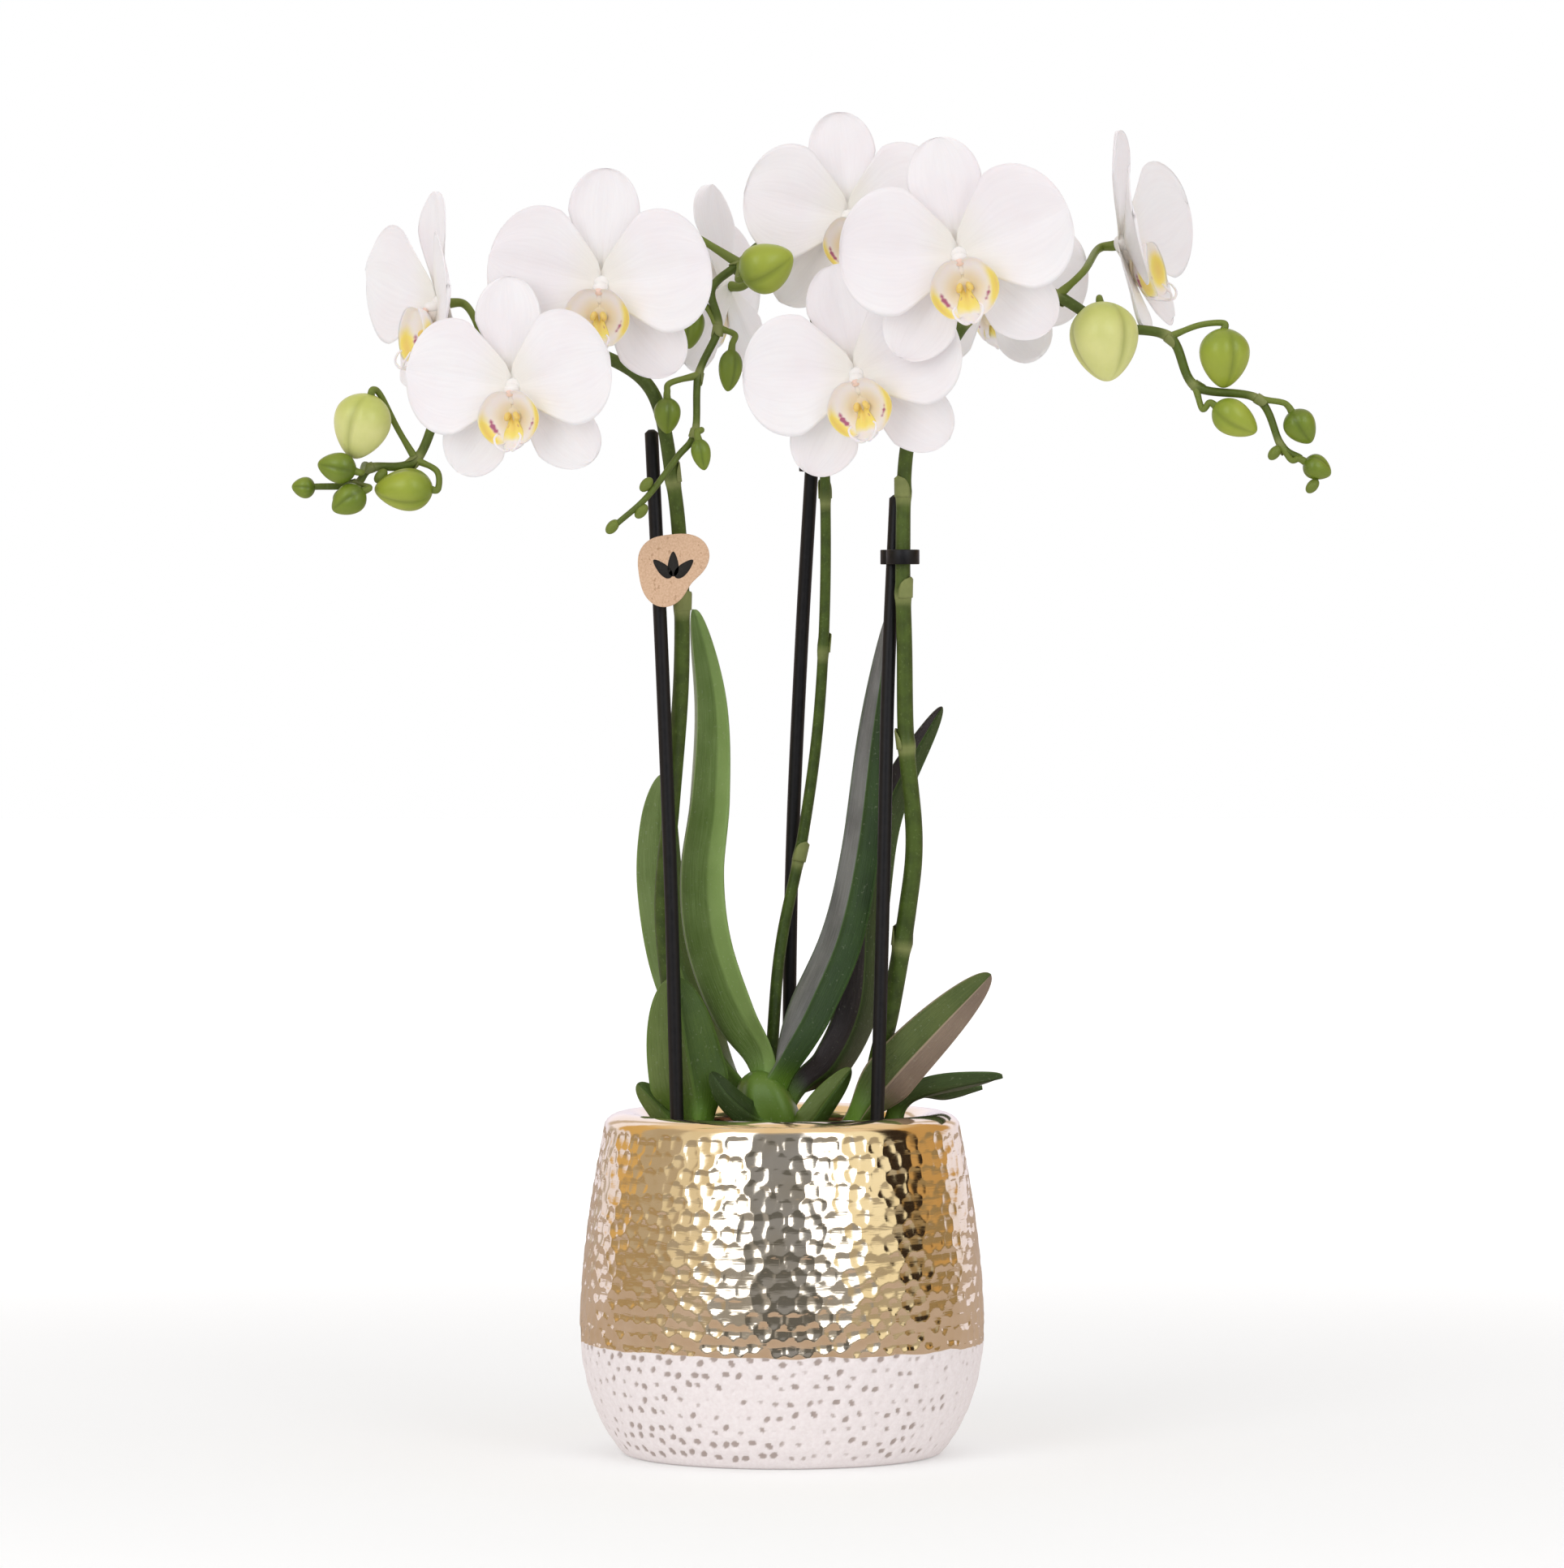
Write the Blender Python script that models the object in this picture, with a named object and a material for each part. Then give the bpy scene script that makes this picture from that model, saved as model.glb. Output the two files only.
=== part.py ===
"""A potted moth orchid: ceramic cover pot, culture pot, bark, sticks, clips, tag and plant.

Metres, +Z up. The origin is the centre of the pot's flat underside, and the plant faces -Y.
Run it with: blender --background --python part.py
"""

import math

import bmesh
import bpy
from mathutils import Matrix, Vector

MM = 0.001
GAP = 0.3

# Ceramic cover pot, in millimetres
POT_HEIGHT = 105.5
POT_BASE_RADIUS = 48.0
POT_BELLY_RADIUS = 62.5
POT_BELLY_HEIGHT = 40.0
POT_TAPER = 8.5
POT_WALL = 5.5
POT_FLOOR = 7.0
RIM_RISE = 4.5
MOUTH_RADIUS = 41.5
POT_SIDES = 36

# Culture pot and its bark
POT_PLAY = 0.8
CULTURE_WALL = 1.0
CULTURE_RIM_DROP = 9.7
CULTURE_BASE_RADIUS = 32.0
BARK_HEAP = 2.5
BARK_EDGE_DROP = 3.0
BARK_SLOPE = 4.0

# Sticks and clips
STICK_RADIUS = 2.1
STICK_HOLE_PLAY = 0.5
CLIP_HEIGHT = 4.5
CLIP_WALL = 1.2
CLIP_PLAY = 0.7
CLIP_BAR = 3.0
TAG_RADIUS = 10.7
TAG_THICKNESS = 1.2

# Plant
PLANTED_MOUTH = 41.5
FOOT_REACH = 60.0
CROWN_REACH = 14.0
FOOT = 0.9
STEM_SIDES_BEVEL = 1
STALK_RADIUS = 1.15
STALK_GAP = 0.5
TEPAL_THICKNESS = 0.7
PETAL_LENGTH = 34.0
CROWDED_PETAL = 34.0
CROWDED_SHARE = 0.8
PETAL_HALF_WIDTH = 18.5
SEPAL_LENGTH = 34.0
SEPAL_HALF_WIDTH = 10.8
HUB_RADIUS = 3.0
HUB_DEPTH = 2.7
COLUMN_RADIUS = 2.3
COLUMN_LENGTH = 9.0
CLAW_START = 0.6
LIP_RADIUS = 9.6
LIP_THICKNESS = 0.9
LEAF_THICKNESS = 1.4

CULTURE_RIM_RADIUS = MOUTH_RADIUS - POT_PLAY
CULTURE_FOOT = POT_FLOOR + GAP
CULTURE_RIM = POT_HEIGHT - CULTURE_RIM_DROP
CULTURE_HEIGHT = CULTURE_RIM - CULTURE_FOOT
BARK_TOP = CULTURE_RIM + BARK_HEAP


def clear_scene():
    for obj in list(bpy.data.objects):
        bpy.data.objects.remove(obj)


def material(name, colour, roughness, metallic=0.0):
    made = bpy.data.materials.new(name)
    made.use_nodes = True
    shader = made.node_tree.nodes["Principled BSDF"]
    shader.inputs["Base Color"].default_value = (*colour, 1.0)
    shader.inputs["Roughness"].default_value = roughness
    shader.inputs["Metallic"].default_value = metallic
    return made


def node(name, mesh, finish):
    """A visible object that becomes one sub-part."""
    mesh.materials.append(finish)
    mesh.shade_smooth()
    mesh.set_sharp_from_angle(angle=math.radians(40))
    obj = bpy.data.objects.new(name, mesh)
    bpy.context.scene.collection.objects.link(obj)
    return obj


def mesh_from(name, shape):
    """The finished mesh of a bmesh that was built in millimetres."""
    bmesh.ops.scale(shape, vec=(MM, MM, MM), verts=shape.verts)
    bmesh.ops.remove_doubles(shape, verts=shape.verts, dist=GAP * MM / 30)
    bmesh.ops.recalc_face_normals(shape, faces=shape.faces)
    mesh = bpy.data.meshes.new(name)
    shape.to_mesh(mesh)
    shape.free()
    return mesh


def helper(name, mesh, collection):
    obj = bpy.data.objects.new(name, mesh)
    obj.hide_render = True
    obj.display_type = "WIRE"
    collection.objects.link(obj)
    return obj


def combine(obj, operation, meshes):
    """Joins helper meshes to an object, or cuts them from it, with one Boolean."""
    operands = bpy.data.collections.new(f"{obj.name}_{operation.lower()}")
    bpy.context.scene.collection.children.link(operands)
    for index, mesh in enumerate(meshes):
        helper(f"{operands.name}_{index}", mesh, operands)
    boolean = obj.modifiers.new(operation.title(), "BOOLEAN")
    boolean.operation = operation
    boolean.operand_type = "COLLECTION"
    boolean.collection = operands
    boolean.solver = "EXACT"


def above_bark(point):
    """A plant's points give their height above the bark. Low ones near the rim follow the mouth."""
    fade = min(max(1 - point[2] / FOOT_REACH, 0.0), 1.0)
    near_rim = min(max((math.hypot(point[0], point[1]) - CROWN_REACH) / CROWN_REACH, 0.0), 1.0)
    spread = 1 + (MOUTH_RADIUS / PLANTED_MOUTH - 1) * fade * near_rim
    return Vector((point[0] * spread, point[1] * spread, point[2] + BARK_TOP))


def along(points, t):
    """The place at t, from 0 to 1, on a smooth curve through the points."""
    spans = len(points) - 1
    index = min(int(t * spans), spans - 1)
    x = t * spans - index
    a, b = points[index], points[index + 1]
    before = points[index - 1] if index else a - (b - a)
    after = points[index + 2] if index + 2 <= spans else b + (b - a)
    bend = (2 * before - 5 * a + 4 * b - after) * x * x
    return 0.5 * (2 * a + (b - before) * x + bend + (3 * a - before - 3 * b + after) * x**3)


def at_height(points, height):
    """Where a rising route passes the given height."""
    low, high = 0.0, 1.0
    for _ in range(30):
        middle = (low + high) / 2
        if along(points, middle).z < height:
            low = middle
        else:
            high = middle
    return along(points, low)


def tube(name, points, start_radius, end_radius, steps, sides_bevel=STEM_SIDES_BEVEL):
    """A closed round tube, from a curve with a bevel and filled caps."""
    curve = bpy.data.curves.new(name, "CURVE")
    curve.dimensions = "3D"
    curve.bevel_depth = MM
    curve.bevel_resolution = sides_bevel
    curve.use_fill_caps = True
    spline = curve.splines.new("POLY")
    spline.points.add(steps)
    for index, point in enumerate(spline.points):
        t = index / steps
        point.co = (*(along(points, t) * MM), 1.0)
        point.radius = start_radius + (end_radius - start_radius) * t
    guide = bpy.data.objects.new(name, curve)
    mesh = bpy.data.meshes.new_from_object(guide)
    bpy.data.objects.remove(guide)
    shape = bmesh.new()
    shape.from_mesh(mesh)
    bmesh.ops.scale(shape, vec=(1 / MM,) * 3, verts=shape.verts)
    return mesh_from(name, shape)


def turned(name, profile, sides):
    """A solid turned round the Z axis, from a profile that starts and ends on the axis."""
    shape = bmesh.new()
    verts = [shape.verts.new((radius, 0.0, height)) for radius, height in profile]
    edges = [shape.edges.new(pair) for pair in zip(verts, verts[1:])]
    bmesh.ops.spin(
        shape,
        geom=verts + edges,
        axis=(0, 0, 1),
        cent=(0, 0, 0),
        angle=math.tau,
        steps=sides,
        use_merge=True,
    )
    return mesh_from(name, shape)


def ball(radii, columns, rows, matrix):
    """A mesh of an egg-shaped body, in the frame that the matrix gives."""
    shape = bmesh.new()
    bmesh.ops.create_uvsphere(shape, u_segments=columns, v_segments=rows, radius=1.0)
    bmesh.ops.scale(shape, vec=radii, verts=shape.verts)
    shape.transform(matrix)
    return mesh_from("ball", shape)


def slab(columns, rows):
    """A closed slab: x -1 to 1 across, y 0 to 1 along, z 0 on its face and 1 on its back."""
    shape = bmesh.new()
    bmesh.ops.create_grid(shape, x_segments=columns, y_segments=rows, size=1.0)
    for vert in shape.verts:
        vert.co.y = (vert.co.y + 1) / 2
    back = bmesh.ops.extrude_face_region(shape, geom=shape.faces[:], use_keep_orig=True)
    for part in back["geom"]:
        if isinstance(part, bmesh.types.BMVert):
            part.co.z = 1.0
    return shape


def facing_frame(centre, turn, nod, roll):
    """A frame whose Z looks out of a flower. Turn 0 looks along -Y, and a positive nod looks down."""
    rotation = (
        Matrix.Rotation(math.radians(turn), 4, "Z")
        @ Matrix.Rotation(math.radians(90 + nod), 4, "X")
        @ Matrix.Rotation(math.radians(roll), 4, "Z")
    )
    return Matrix.Translation(above_bark(centre)) @ rotation


# ---------------------------------------------------------------- pots and bark


def pot_radius(height):
    """The cover pot's outer radius: a round foot, a belly, and a taper up to the rim."""
    if height < POT_BELLY_HEIGHT:
        share = (height / POT_BELLY_HEIGHT) ** 0.74
        return POT_BASE_RADIUS + (POT_BELLY_RADIUS - POT_BASE_RADIUS) * math.sin(share * math.pi / 2)
    share = (height - POT_BELLY_HEIGHT) / (POT_HEIGHT - POT_BELLY_HEIGHT)
    return POT_BELLY_RADIUS - POT_TAPER * share**1.7


def ceramic_pot(finish):
    rim_foot = POT_HEIGHT - RIM_RISE
    rim_half = (pot_radius(rim_foot) - MOUTH_RADIUS) / 2
    rim_centre = MOUTH_RADIUS + rim_half
    neck = 30.0
    outside = [0.0, 0.04, 0.1, 0.2, 0.32, 0.45, 0.6, 0.75, 0.9]
    inside = [0.86, 0.7, 0.5, 0.3, 0.14]
    profile = [(0.0, 0.0)]
    profile += [(pot_radius(share * rim_foot), share * rim_foot) for share in outside]
    for step in range(7):
        angle = math.pi * step / 6
        rise = RIM_RISE * math.sin(angle)
        profile.append((rim_centre + rim_half * math.cos(angle), rim_foot + rise))
    for share in [*inside, POT_FLOOR / rim_foot]:
        height = share * rim_foot
        opened = min((rim_foot - height) / neck, 1.0)
        wall_radius = pot_radius(height) - POT_WALL
        profile.append((MOUTH_RADIUS + (wall_radius - MOUTH_RADIUS) * opened, height))
    profile.append((0.0, POT_FLOOR))
    node("ceramic_pot", turned("ceramic_pot", profile, POT_SIDES), finish)


def culture_radius(height):
    """The culture pot's outer radius at a height over the origin."""
    share = (height - CULTURE_FOOT) / CULTURE_HEIGHT
    return CULTURE_BASE_RADIUS + (CULTURE_RIM_RADIUS - CULTURE_BASE_RADIUS) * share


def culture_pot(finish):
    floor = CULTURE_FOOT + CULTURE_WALL
    profile = [
        (0.0, CULTURE_FOOT),
        (CULTURE_BASE_RADIUS, CULTURE_FOOT),
        (CULTURE_RIM_RADIUS, CULTURE_RIM),
        (CULTURE_RIM_RADIUS - CULTURE_WALL, CULTURE_RIM),
        (culture_radius(floor) - CULTURE_WALL, floor),
        (0.0, floor),
    ]
    node("culture_pot", turned("culture_pot", profile, 32), finish)


def bark_mix(finish, sticks):
    floor = CULTURE_FOOT + CULTURE_WALL + GAP
    edge = CULTURE_RIM - BARK_EDGE_DROP
    inset = CULTURE_WALL + GAP
    profile = [
        (0.0, floor),
        (culture_radius(floor) - inset, floor),
        (culture_radius(edge) - inset, edge),
        (culture_radius(edge) - inset - BARK_SLOPE, BARK_TOP),
        (0.0, BARK_TOP),
    ]
    bark = node("bark_mix", turned("bark_mix", profile, 32), finish)
    holes = []
    for points in sticks:
        reach = [points[0] - Vector((0, 0, GAP)), points[1], points[1] + Vector((0, 0, 9.0))]
        radius = STICK_RADIUS + STICK_HOLE_PLAY
        holes.append(tube("stick_hole", reach, radius, radius, 2, 2))
    combine(bark, "DIFFERENCE", holes)


# ---------------------------------------------------------------- sticks, clips and tag

STICK_ROUTES = {
    "left_stick": [(-30, -11.5, -38), (-32, -12, 0), (-34, -12.5, 75), (-36.5, -12, 140), (-40, -10, 216)],
    "middle_stick": [(2, 20, -38), (2, 20, 0), (3, 20, 80), (6, 18.5, 150), (9.5, 17, 211)],
    "right_stick": [(28, -15.5, -38), (29, -16, 0), (31, -15, 75), (32.5, -12, 140), (35, -7, 196)],
}


def clip(name, stem, stem_radius, stick, height, finish):
    """Two rings and the bar that joins them, round a stem and its stick."""
    shape = bmesh.new()
    stem_place, stick_place = at_height(stem, height), at_height(stick, height)
    across = (stick_place - stem_place).xy.to_3d()
    middle = (stem_place + stick_place) / 2
    rings = ((stem_place, stem_radius + CLIP_PLAY), (stick_place, STICK_RADIUS + CLIP_PLAY))
    turn = Matrix.Rotation(math.atan2(across.y, across.x), 4, "Z")
    size = Matrix.Diagonal((across.length, CLIP_BAR, CLIP_HEIGHT, 1))
    bmesh.ops.create_cube(shape, size=1.0, matrix=Matrix.Translation(middle) @ turn @ size)
    body = node(name, mesh_from(name, shape), finish)
    outsides, holes = [], []
    for place, radius in rings:
        for made, grown, tall in ((outsides, CLIP_WALL, 1.0), (holes, 0.0, 2.0)):
            ring = bmesh.new()
            bmesh.ops.create_cone(
                ring,
                cap_ends=True,
                segments=12,
                radius1=radius + grown,
                radius2=radius + grown,
                depth=CLIP_HEIGHT * tall,
                matrix=Matrix.Translation(place),
            )
            made.append(mesh_from("ring", ring))
    combine(body, "UNION", outsides)
    combine(body, "DIFFERENCE", holes)


def plant_tag(centre, finish):
    """A rounded three-cornered card that faces forward."""
    shape = bmesh.new()
    bmesh.ops.create_circle(shape, cap_ends=True, segments=24, radius=1.0)
    for vert in shape.verts:
        angle = math.atan2(vert.co.y, vert.co.x)
        corners = 1.2 * math.cos(3 * (angle - math.radians(22)))
        longer = 1.3 * math.cos(2 * (angle - math.radians(230)))
        vert.co *= TAG_RADIUS + corners + longer
    grown = bmesh.ops.extrude_face_region(shape, geom=shape.faces[:], use_keep_orig=True)
    for part in grown["geom"]:
        if isinstance(part, bmesh.types.BMVert):
            part.co.z = TAG_THICKNESS
    shape.transform(Matrix.Translation(above_bark(centre)) @ Matrix.Rotation(math.pi / 2, 4, "X"))
    node("plant_tag", mesh_from("plant_tag", shape), finish)


# ---------------------------------------------------------------- leaves and crown

CROWN_PLACE = (-3.0, 0.0)
CROWN_PROFILE = [(0.0, GAP), (8.0, GAP), (7.5, 9.0), (5.5, 17.0), (2.5, 20.5), (0.0, 21.0)]

# name: (route, half width, turn at the base, turn at the tip, fold)
# Turn 0 shows the blade's face to the front, and 90 shows its edge.
LEAVES = {
    "leaf_tall_left": ([(-8, 1, 23), (-17, 1, 36), (-25, 2, 58), (-27, 3, 80), (-24, 6, 104), (-23, 9, 132),
                        (-27, 13, 162)], 10.5, -60, -35, 0.35),
    "leaf_back_left": ([(-12.5, 7, 12), (-22, 13, 28), (-32, 18, 50), (-37, 20, 75), (-38, 19, 95),
                        (-37, 17, 111)], 8.5, 30, 10, 0.3),
    "leaf_front_left": ([(-25.5, -6, 2), (-30, -6.5, 24), (-33.5, -6.5, 49)], 12.5, -8, 5, 0.15),
    "leaf_low_left": ([(-32, -1, 2), (-38, -1, 9), (-44.5, -1, 16)], 4.5, 0, 0, 0.1),
    "leaf_under_left": ([(-12, -10, 7), (-17, -11.5, 13), (-22, -12, 20)], 4.5, 15, 15, 0.2),
    "leaf_tall_right": ([(-1, -3.5, 25), (7, -3, 41), (16, -2, 62), (22, 0, 88), (27, 3, 124),
                         (33.5, 6, 161)], 10.5, -55, -45, 0.35),
    "leaf_slender_right": ([(7, 5, 15), (17, 7, 22), (25, 11, 40), (27.5, 14, 70), (33, 16, 100),
                            (49.5, 13, 132)], 8.5, 55, 10, 0.3),
    "leaf_broad_right": ([(21, -8.5, 3), (33, -9, 18), (47, -8, 33), (64, -6, 50)], 8.5, 10, 10, 0.15),
    "leaf_low_right": ([(33, 3, 3), (39, 3, 11), (50, 3, 15), (68, 3, 18.5)], 6.0, 65, 50, 0.2),
    "leaf_thin_right": ([(33, 13, 4), (42, 14.5, 11.6), (51, 15, 11.5), (62, 13, 14.5)], 3.3, 75, 60, 0.1),
    "leaf_small_front": ([(8, -6, 3), (14, -6, 12), (21, -5, 21)], 5.0, 15, 15, 0.2),
}
LEAF_BASE_SHARE = 0.45
LEAF_SPREAD = 0.35


def leaf(name, route, half_width, turn_base, turn_tip, fold, finish):
    """A thick blade that is folded along its midrib and follows its route."""
    points = [above_bark(point) for point in route]
    shape = slab(4, 9 if len(route) > 4 else 4)
    for vert in shape.verts:
        share, depth = vert.co.x, vert.co.z
        t = math.sin(vert.co.y * math.pi / 2)
        place = along(points, t)
        ahead = along(points, min(t + 0.02, 1.0)) - along(points, max(t - 0.02, 0.0))
        flat = ahead.normalized().cross(Vector((0, 1, 0))).normalized()
        turn = math.radians(turn_base + (turn_tip - turn_base) * t)
        across = Matrix.Rotation(turn, 3, ahead) @ flat
        face = across.cross(ahead.normalized())
        grown = min(t / LEAF_SPREAD, 1.0)
        width = half_width * math.sqrt(1 - t**3) * (LEAF_BASE_SHARE + (1 - LEAF_BASE_SHARE) * grown)
        vert.co = place + across * share * width + face * (fold * abs(share) * width - depth * LEAF_THICKNESS)
    node(name, mesh_from(name, shape), finish)


# ---------------------------------------------------------------- flowers and buds

# name: (centre, turn, nod, roll, size, cup)
BACK_OFF = max(PETAL_LENGTH - CROWDED_PETAL, 0.0) * CROWDED_SHARE
FLOWERS = {
    "left_1": ((-54.5, -42, 260.5), -8, 4, -2, 1.02, 0.0),
    "left_2": ((-81, -50, 229.5), -14, 4, 4, 0.96, 0.0),
    "left_3": ((-104.5, -16, 255.5 + BACK_OFF), -65, 0, -6, 1.0, 0.2),
    "middle_1": ((22.5, -40, 233), -10, 4, 13, 1.0, 0.0),
    "middle_2": ((20, -3, 282.5), 10, -8, 2, 0.98, 0.0),
    "middle_3": ((-17.5, 21, 262), -126, 4, 0, 0.95, 0.2),
    "middle_4": ((-47, 1, 262), -130, 10, 15, 0.85, 0.2),
    "right_1": ((53, -58, 268.5), -3, 2, 11, 1.05, 0.0),
    "right_2": ((64.5, 8 + BACK_OFF, 262), 150, 10, 0, 0.88, 0.1),
    "right_3": ((104.5, 2, 274.5), 72, -12, 6, 1.0, 0.3),
}

# name: (centre, half length, half width, where its tip points)
BUDS = {
    "left_1": ((-127.5, -32, 217.5), 9.6, 8.6, (-0.3, 0.1, -1)),
    "left_2": ((-115, -30, 198.5), 8.4, 6.4, (-1, 0, 0)),
    "left_3": ((-135, -35, 205), 5.6, 4.6, (-1, 0, 0.2)),
    "left_4": ((-131.5, -34.5, 195), 5.4, 4.6, (-0.8, 0, -0.5)),
    "left_5": ((-145.5, -29, 199), 3.4, 3.2, (-1, 0, 0.1)),
    "middle_1": ((-4.5, -23, 266.5), 8.2, 7.6, (0.9, -0.3, 0.4)),
    "middle_2": ((-16, -16, 235), 6.1, 3.6, (-0.1, 0, -1)),
    "middle_3": ((-27.5, -9, 248), 6.0, 3.6, (-0.2, 0.2, -1)),
    "middle_4": ((-35, -23, 221), 5.2, 4.0, (0, 0, -1)),
    "middle_5": ((-24.5, -30, 209), 4.6, 2.9, (0.2, 0, -1)),
    "right_1": ((97.5, -37.5, 243), 11.6, 10.2, (0.1, -0.2, -1)),
    "right_2": ((134.5, -24, 238.5), 8.6, 7.6, (0, 0, -1)),
    "right_3": ((138, -26, 220), 7.2, 5.4, (0.8, 0, -0.5)),
    "right_4": ((158, -26, 217.5), 5.4, 4.8, (0.5, 0, -0.8)),
    "right_5": ((163, -26, 205), 4.3, 3.8, (0.8, 0, -0.4)),
}


def tepal_mesh(angle, length, half_width, layer, sweep, curl, columns, matrix, size):
    """One petal or sepal: a thin blade that starts in the column and points to the angle."""
    shape = slab(columns, 4)
    claw = 1.7
    for vert in shape.verts:
        share, depth = vert.co.x, vert.co.z
        t = math.sin(vert.co.y * math.pi / 2)
        width = claw * (1 - t) + (half_width - claw * (1 - t)) * math.sin(math.pi * t**1.25) ** 0.62
        reach = CLAW_START + (length - CLAW_START) * t
        rise = layer + reach * sweep - length * curl * t**2 - depth * TEPAL_THICKNESS
        vert.co = Vector((reach, share * width, rise))
    shape.transform(matrix @ Matrix.Scale(size, 4) @ Matrix.Rotation(math.radians(angle), 4, "Z"))
    return mesh_from("tepal", shape)


def flower(name, centre, turn, nod, roll, size, cup, finish):
    """Three sepals behind two petals, all grown together with the column."""
    frame = facing_frame(centre, turn, nod, roll)
    sized = frame @ Matrix.Scale(size, 4)
    obj = node(name, ball((HUB_RADIUS, HUB_RADIUS, HUB_DEPTH), 8, 5, sized), finish)
    column = sized @ Matrix.Translation((0, 0, COLUMN_LENGTH / 2 - 1.5))
    foot = sized @ Matrix.Translation((0, -3.5, 0.4))
    grown = [
        ball((COLUMN_RADIUS, COLUMN_RADIUS, COLUMN_LENGTH / 2), 6, 5, column),
        ball((1.8, 4.2, 1.6), 5, 4, foot),
    ]
    for angle, layer in ((90, -0.4), (229, -0.9), (311, -1.9)):
        shape = (angle, SEPAL_LENGTH, SEPAL_HALF_WIDTH, layer, cup - 0.04, 0.05, 2)
        grown.append(tepal_mesh(*shape, frame, size))
    for angle, layer in ((13, 1.0), (167, 1.3)):
        shape = (angle, PETAL_LENGTH, PETAL_HALF_WIDTH, layer, cup + 0.16, 0.06, 4)
        grown.append(tepal_mesh(*shape, frame, size))
    combine(obj, "UNION", grown)


def lip(name, centre, turn, nod, roll, size, _cup, finish):
    """A shallow scoop below the column, open above where the column lies in it."""
    frame = facing_frame(centre, turn, nod, roll) @ Matrix.Scale(size, 4)
    shape = slab(6, 2)
    hinge = Vector((0, -8.8, 2.7))
    for vert in shape.verts:
        angle = math.radians(270 + 130 * vert.co.x)
        radius = LIP_RADIUS * vert.co.y
        rise = 6.0 * (1 - math.sqrt(1 - 0.96 * vert.co.y**2)) + LIP_THICKNESS * (1 - vert.co.z)
        vert.co = hinge + Vector((radius * math.cos(angle), radius * math.sin(angle), rise))
    shape.transform(frame)
    node(name, mesh_from(name, shape), finish)


def bud(name, centre, half_length, half_width, tip, finish):
    point = Vector(tip).to_track_quat("Z", "Y").to_matrix().to_4x4()
    frame = Matrix.Translation(above_bark(centre)) @ point
    node(name, ball((half_width, half_width, half_length), 8, 6, frame), finish)


def bud_foot(name):
    """Where a bud's stalk ends, and the place that the stalk comes from."""
    centre, half_length, _, tip = BUDS[name]
    way = Vector(tip).normalized()
    end = above_bark(centre) - way * (half_length + GAP)
    return end - way * 2.0, end


def flower_back(name):
    """Where a flower's stalk ends behind its column, and the place that the stalk comes from."""
    centre, turn, nod, roll, size, _ = FLOWERS[name]
    way = facing_frame(centre, turn, nod, roll).to_3x3() @ Vector((0, 0, 1))
    end = above_bark(centre) - way * (HUB_DEPTH * size + STALK_GAP)
    return end - way * 5.0, end


# ---------------------------------------------------------------- spikes

# A spike: its route, its radius at the foot and at the tip, and what its stalks carry.
# A stalk: (kind, name, the route's point that it leaves from, its bends on the way).
LEFT_ROUTE = [(-27, 3, FOOT), (-31.5, 2, 27), (-35.5, -1, 55), (-36.5, -2.5, 75), (-34, -4, 102),
              (-31, -6, 140), (-31, -10, 175), (-33.5, -14, 202), (-40, -17, 229), (-58, -15, 241),
              (-78, -14, 247), (-91, -16, 243), (-103, -20, 227), (-111.5, -25, 207.5), (-125, -27, 205),
              (-130, -28, 200), (-140, -29, 201)]
MIDDLE_ROUTE = [(-4, 10.5, FOOT), (-2.5, 12.5, 35), (0, 14, 60), (6.5, 14.5, 92), (11.5, 14, 130),
                (13.5, 13, 175), (12.5, 11, 225), (9, 8, 258), (3, 4, 271), (-6, 0, 274), (-13, -5, 268),
                (-21.5, -11, 260), (-19.5, -14, 248), (-25.5, -18, 233.5), (-26.5, -25, 216),
                (-32, -30, 208), (-41, -34, 196), (-50, -34, 188)]
RIGHT_ROUTE = [(27, 2, FOOT), (29, -1, 20), (33.5, -7, 40), (38.5, -11, 70), (40.5, -12, 92),
               (38, -13.5, 122), (37.5, -14, 150), (37, -15, 180), (38.5, -15, 213), (47, -15, 234),
               (57, -16, 251), (70, -18, 261.5), (84, -20, 257.5), (99.5, -22, 248.5), (118, -22, 245),
               (126, -23, 230), (145, -24, 226), (152, -25, 212), (158, -25.5, 208)]
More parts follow.
